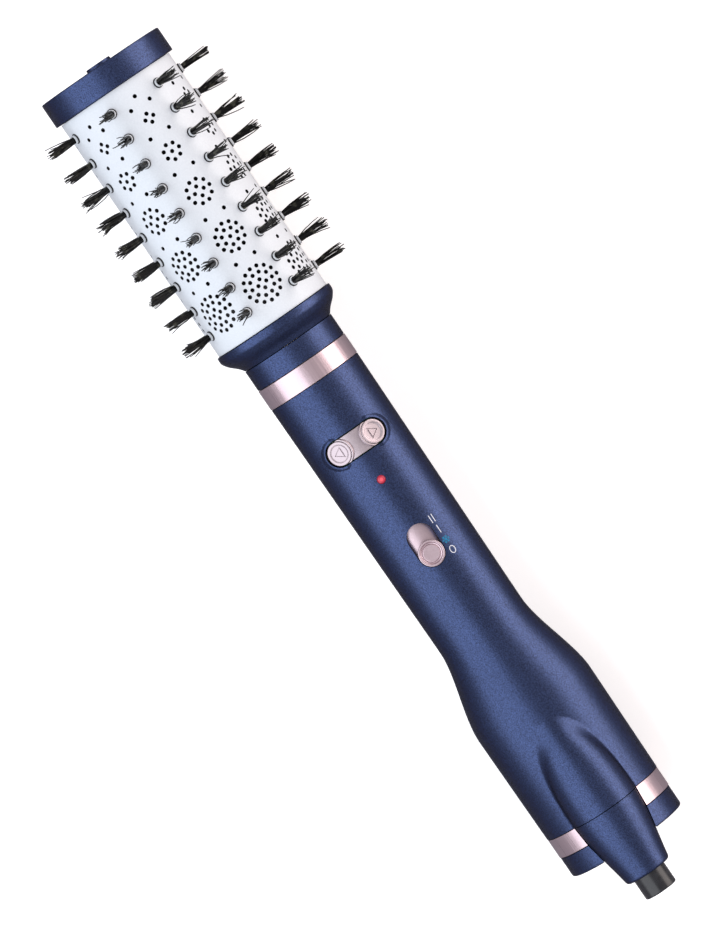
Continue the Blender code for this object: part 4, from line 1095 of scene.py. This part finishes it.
def make_cord_entry():
    throat = GLAND_RADIUS + GLAND_CLEARANCE
    outline = [*BOOT_SHAPE, (BOOT_END, throat, 0.0002), (BOOT_POCKET_END, throat)]
    outline += [(BOOT_POCKET_END, BOOT_POCKET), (CASING_END + SEAM, BOOT_MOUTH)]
    boot = turned("boot_skin", "midnight_blue", outline, 128, along_x(BOOT_OFFSET))
    finish_piece(boot, "handle", "midnight_blue", "cord_boot")
    meshes = [placed(turned_mesh(filleted(GLAND_SHAPE), 96), along_x(BOOT_OFFSET))]
    line = rectangle(-MOULD_LINE_END, -MOULD_LINE_START, MOULD_LINE_HALF)
    for angle in (MOULD_LINE_ANGLE, MOULD_LINE_ANGLE + math.pi):
        place = Matrix.Translation((0, 0, BOOT_OFFSET)) @ round_to(angle)
        meshes.append(placed(extruded_mesh(line, MOULD_LINE_ROOT, MOULD_LINE_TOP), place))
    gland = add_piece("gland_sleeve", "gloss_black", *joined(meshes))
    finish_piece(gland, "cord_gland", "gloss_black", "cord_gland")


# ---- Controls ----


def button_place(side):
    """A placement whose Z runs out along a button's own axis. The left button is on +Y."""
    tilt = math.asin(BUTTON_SIDE / BUTTON_SURFACE)
    return round_to(-side * tilt) @ at(BUTTON_ALONG)


def triangle_groove(side):
    """The closed ring of a triangular groove, whose triangle points away from the other button."""
    corners = [(x, (y + TRIANGLE_SHIFT) * side) for x, y in TRIANGLE]
    points = []
    for lift in GROOVE_LIFTS:
        for share in GROOVE_SHARES:
            points += [Vector((x * share, y * share, lift)) for x, y in corners]
    rings = [range(start, start + 3) for start in (0, 3, 6, 9)]
    pairs = ((0, 1), (2, 3), (0, 2), (1, 3))
    return points, [face for a, b in pairs for face in ring_faces(rings[a], rings[b])]


def make_button(name, side):
    """A dished cap with a raised rim and an engraved triangle."""
    place = button_place(side)
    button = add_piece(name + "_cap", "button", *placed(turned_mesh(filleted(BUTTON_SHAPE, 5), 72), place))
    combine(button, "DIFFERENCE", placed(triangle_groove(side), place))
    finish_piece(button, name, "rose_gold", name)


def make_button_plate():
    """The curved plate between the buttons, with a collar round each of them."""
    low, high = BUTTON_ALONG - PLATE_HALF, BUTTON_ALONG + PLATE_HALF
    outline = tube(low, high, BUTTON_UNDERSIDE, PLATE_SURFACE, 0.0003)
    plate = turned("waist_plate", "button", outline, 240)
    window = placed(extruded_mesh(rectangle(0.006, -0.006, 0.007), TRIM_LOW, TRIM_HIGH), at(BUTTON_ALONG))
    combine(plate, "INTERSECT", window)
    ring = turned_mesh(filleted(BUTTON_COLLAR_SHAPE), 96)
    hole = cylinder(BUTTON_BORE, 96, 0.008, 0.026)
    pill = extruded_mesh(pill_outline(PLATE_HALF), TRIM_LOW, TRIM_HIGH)
    for side in (1, -1):
        place = button_place(side)
        collar = add_piece("collar_tool", None, *placed(ring, place))
        combine(collar, "INTERSECT", pill)
        combine(collar, "INTERSECT", window)
        mesh = collar.data
        shape = [v.co.copy() for v in mesh.vertices], [list(p.vertices) for p in mesh.polygons]
        bpy.data.objects.remove(collar, do_unlink=True)
        combine(plate, "UNION", shape)
        combine(plate, "DIFFERENCE", placed(hole, place))
    finish_piece(plate, "handle", "rose_gold", "button_plate")


def make_lens():
    surface = body_radius(LENS_ALONG)
    outline = [(surface + height, *rest) for height, *rest in LENS_SHAPE]
    lens = turned("lens_dome", "red_lens", outline, 40, at(LENS_ALONG))
    finish_piece(lens, "handle", "red_lens", "indicator_lens")


def make_switch():
    """The knob, and the curved plate that slides with it under the casing."""
    half = SWITCH_RADIUS + SLIDE_MARGIN
    low = SWITCH_OFF - SWITCH_TRAVEL - half
    high = SWITCH_OFF + SWITCH_TRAVEL + half
    outline = tube(low, high, SLIDE_RADIUS - SLIDE_THICKNESS, SLIDE_RADIUS, 0.0002)
    plate = turned("slide_plate", "rose_gold", outline, 240)
    window = rectangle(-high - OVERRUN, -low + OVERRUN, half)
    combine(plate, "INTERSECT", extruded_mesh(window, TRIM_LOW, TRIM_HIGH))
    stem = placed(cylinder(SWITCH_STEM_RADIUS, 32, CUT_LOW, 0.020), at(SWITCH_OFF))
    combine(plate, "DIFFERENCE", stem)
    finish_piece(plate, "switch_knob", "rose_gold", "switch_plate")
    knob = turned("slide_knob", "rose_gold", KNOB_SHAPE, 72, at(SWITCH_OFF))
    finish_piece(knob, "switch_knob", "rose_gold", "switch_knob")


# ---- Printed marks ----


def printed(outline):
    """A thin layer over an outline on the grip, following its curve."""
    points = []
    for lift in (-MARK_LIFT, MARK_LIFT):
        points += [Vector((x, y, surface_height(-x, y) + lift)) for x, y in outline]
    return points, prism_faces(len(outline))


def stroke(start, end, width):
    start, end = Vector(start), Vector(end)
    across = (end - start).normalized().orthogonal() * width / 2
    return printed([start - across, end - across, end + across, start + across])


def ring_strokes(centre, half_x, half_y, width, steps=28):
    meshes = []
    for i in range(steps):
        corners = []
        for turn in (i, i + 1):
            x, y = polar(1, math.tau * turn / steps)
            corners.append((centre[0] + half_x * x, centre[1] + half_y * y))
        meshes.append(stroke(*corners, width))
    return meshes


def snowflake(centre, size, width):
    meshes = []
    for i in range(6):
        turn = math.tau * (i + 0.5) / 6
        arm = Vector(polar(1, turn)) * size
        tip = Vector(centre) + arm
        meshes.append(stroke(centre, tip, width))
        fork = Vector(centre) + arm * 0.55
        for bend in (math.radians(50), math.radians(-50)):
            branch = Vector(polar(1, turn + bend)) * size * 0.38
            meshes.append(stroke(fork, fork + branch, width))
    return meshes


def make_marks():
    """Speed marks beside the slide switch: two strokes, one stroke, a snowflake and a nought."""
    meshes = []
    for along, side in ((TWO_ALONG, -TWO_GAP), (TWO_ALONG, TWO_GAP), (ONE_ALONG, 0.0)):
        ends = [(-along + shift, MARK_SIDE + side) for shift in (-MARK_HALF, MARK_HALF)]
        meshes.append(stroke(*ends, MARK_STROKE))
    meshes += ring_strokes((-NOUGHT_ALONG, MARK_SIDE), 0.0015, 0.0010, MARK_STROKE)
    finish_piece(add_piece("speed_marks", "white_ink", *joined(meshes)), "handle", "midnight_blue")
    flake = joined(snowflake((-COOL_ALONG, MARK_SIDE), 0.0016, 0.00028))
    finish_piece(add_piece("cool_mark", "teal_ink", *flake), "handle", "midnight_blue")


# ---- Studio ----


def make_floor():
    """A pale floor under the lowest bristle tips and the tail."""
    tilt = math.atan(FLOOR_SLOPE)
    half = FLOOR_SIZE / 2
    along, height = FLOOR_CONTACT
    place = Matrix.Translation((-along, 0, height)) @ Matrix.Rotation(tilt, 4, "Y")
    points = [place @ Vector((x, y, 0)) for x, y in rectangle(-half, half, half)]
    floor = add_piece("floor", "floor_paper", points, [[0, 1, 2, 3]])
    if floor.data.polygons[0].normal.z < 0:
        floor.data.flip_normals()


def add_softbox(name, angle, distance, size, power, colour):
    """A large soft light at this angle round the brush's axis, facing the brush."""
    light = bpy.data.lights.new(name, "AREA")
    light.shape = "RECTANGLE"
    light.size, light.size_y = size
    light.energy = power
    light.color = colour
    holder = bpy.data.objects.new(name, light)
    angle = math.radians(angle)
    back = Vector((0, -math.sin(angle), math.cos(angle)))
    across = Vector((1, 0, 0))
    rotation = Matrix((across, back.cross(across), back)).transposed().to_4x4()
    place = Vector((-LIGHTS_ALONG, 0, 0)) + back * distance
    holder.matrix_world = Matrix.Translation(place) @ rotation
    bpy.context.scene.collection.objects.link(holder)


def light_studio():
    for softbox in SOFTBOXES:
        add_softbox(*softbox)
    world = bpy.data.worlds.new("studio")
    world.use_nodes = True
    set_inputs(world.node_tree.nodes["Background"], {"Color": (1.0, 0.94, 0.96, 1.0), "Strength": 0.6})
    bpy.context.scene.world = world
    bpy.context.scene.view_settings.view_transform = "Standard"


def add_camera():
    data = bpy.data.cameras.new("camera")
    camera = bpy.data.objects.new("camera", data)
    place = Vector((-CAMERA_ALONG, FRAME_CENTRE.y, CAMERA_DISTANCE))
    back = (place - FRAME_CENTRE).normalized()
    right = Vector((-math.cos(VIEW_ROLL), -math.sin(VIEW_ROLL), 0))
    up = back.cross(right).normalized()
    right = up.cross(back)
    camera.matrix_world = Matrix.Translation(place) @ Matrix((right, up, back)).transposed().to_4x4()
    data.sensor_width = SENSOR
    data.lens = SENSOR * (place - FRAME_CENTRE).length / FRAME_HEIGHT
    data.clip_end = 20
    bpy.context.scene.collection.objects.link(camera)
    bpy.context.scene.camera = camera


def dress_nodes():
    """Gives every CAD node still showing the finish of its slot."""
    for node in frame["nodes"].values():
        for slot in node.material_slots:
            slot.material = finishes[slot.material.name.split(".")[0]]


def main():
    add_camera()
    dress_nodes()
    for make in (make_caps, make_barrel, make_bristle_rows, make_painted_shade_sleeve, make_neck, make_front_shell,
                 make_rear_shell, make_pill_lip, make_tail, make_grille, make_cord_entry):
        make()
    make_button("left_button", 1)
    make_button("right_button", -1)
    for make in (make_button_plate, make_lens, make_switch, make_marks, make_floor, light_studio):
        make()


main()
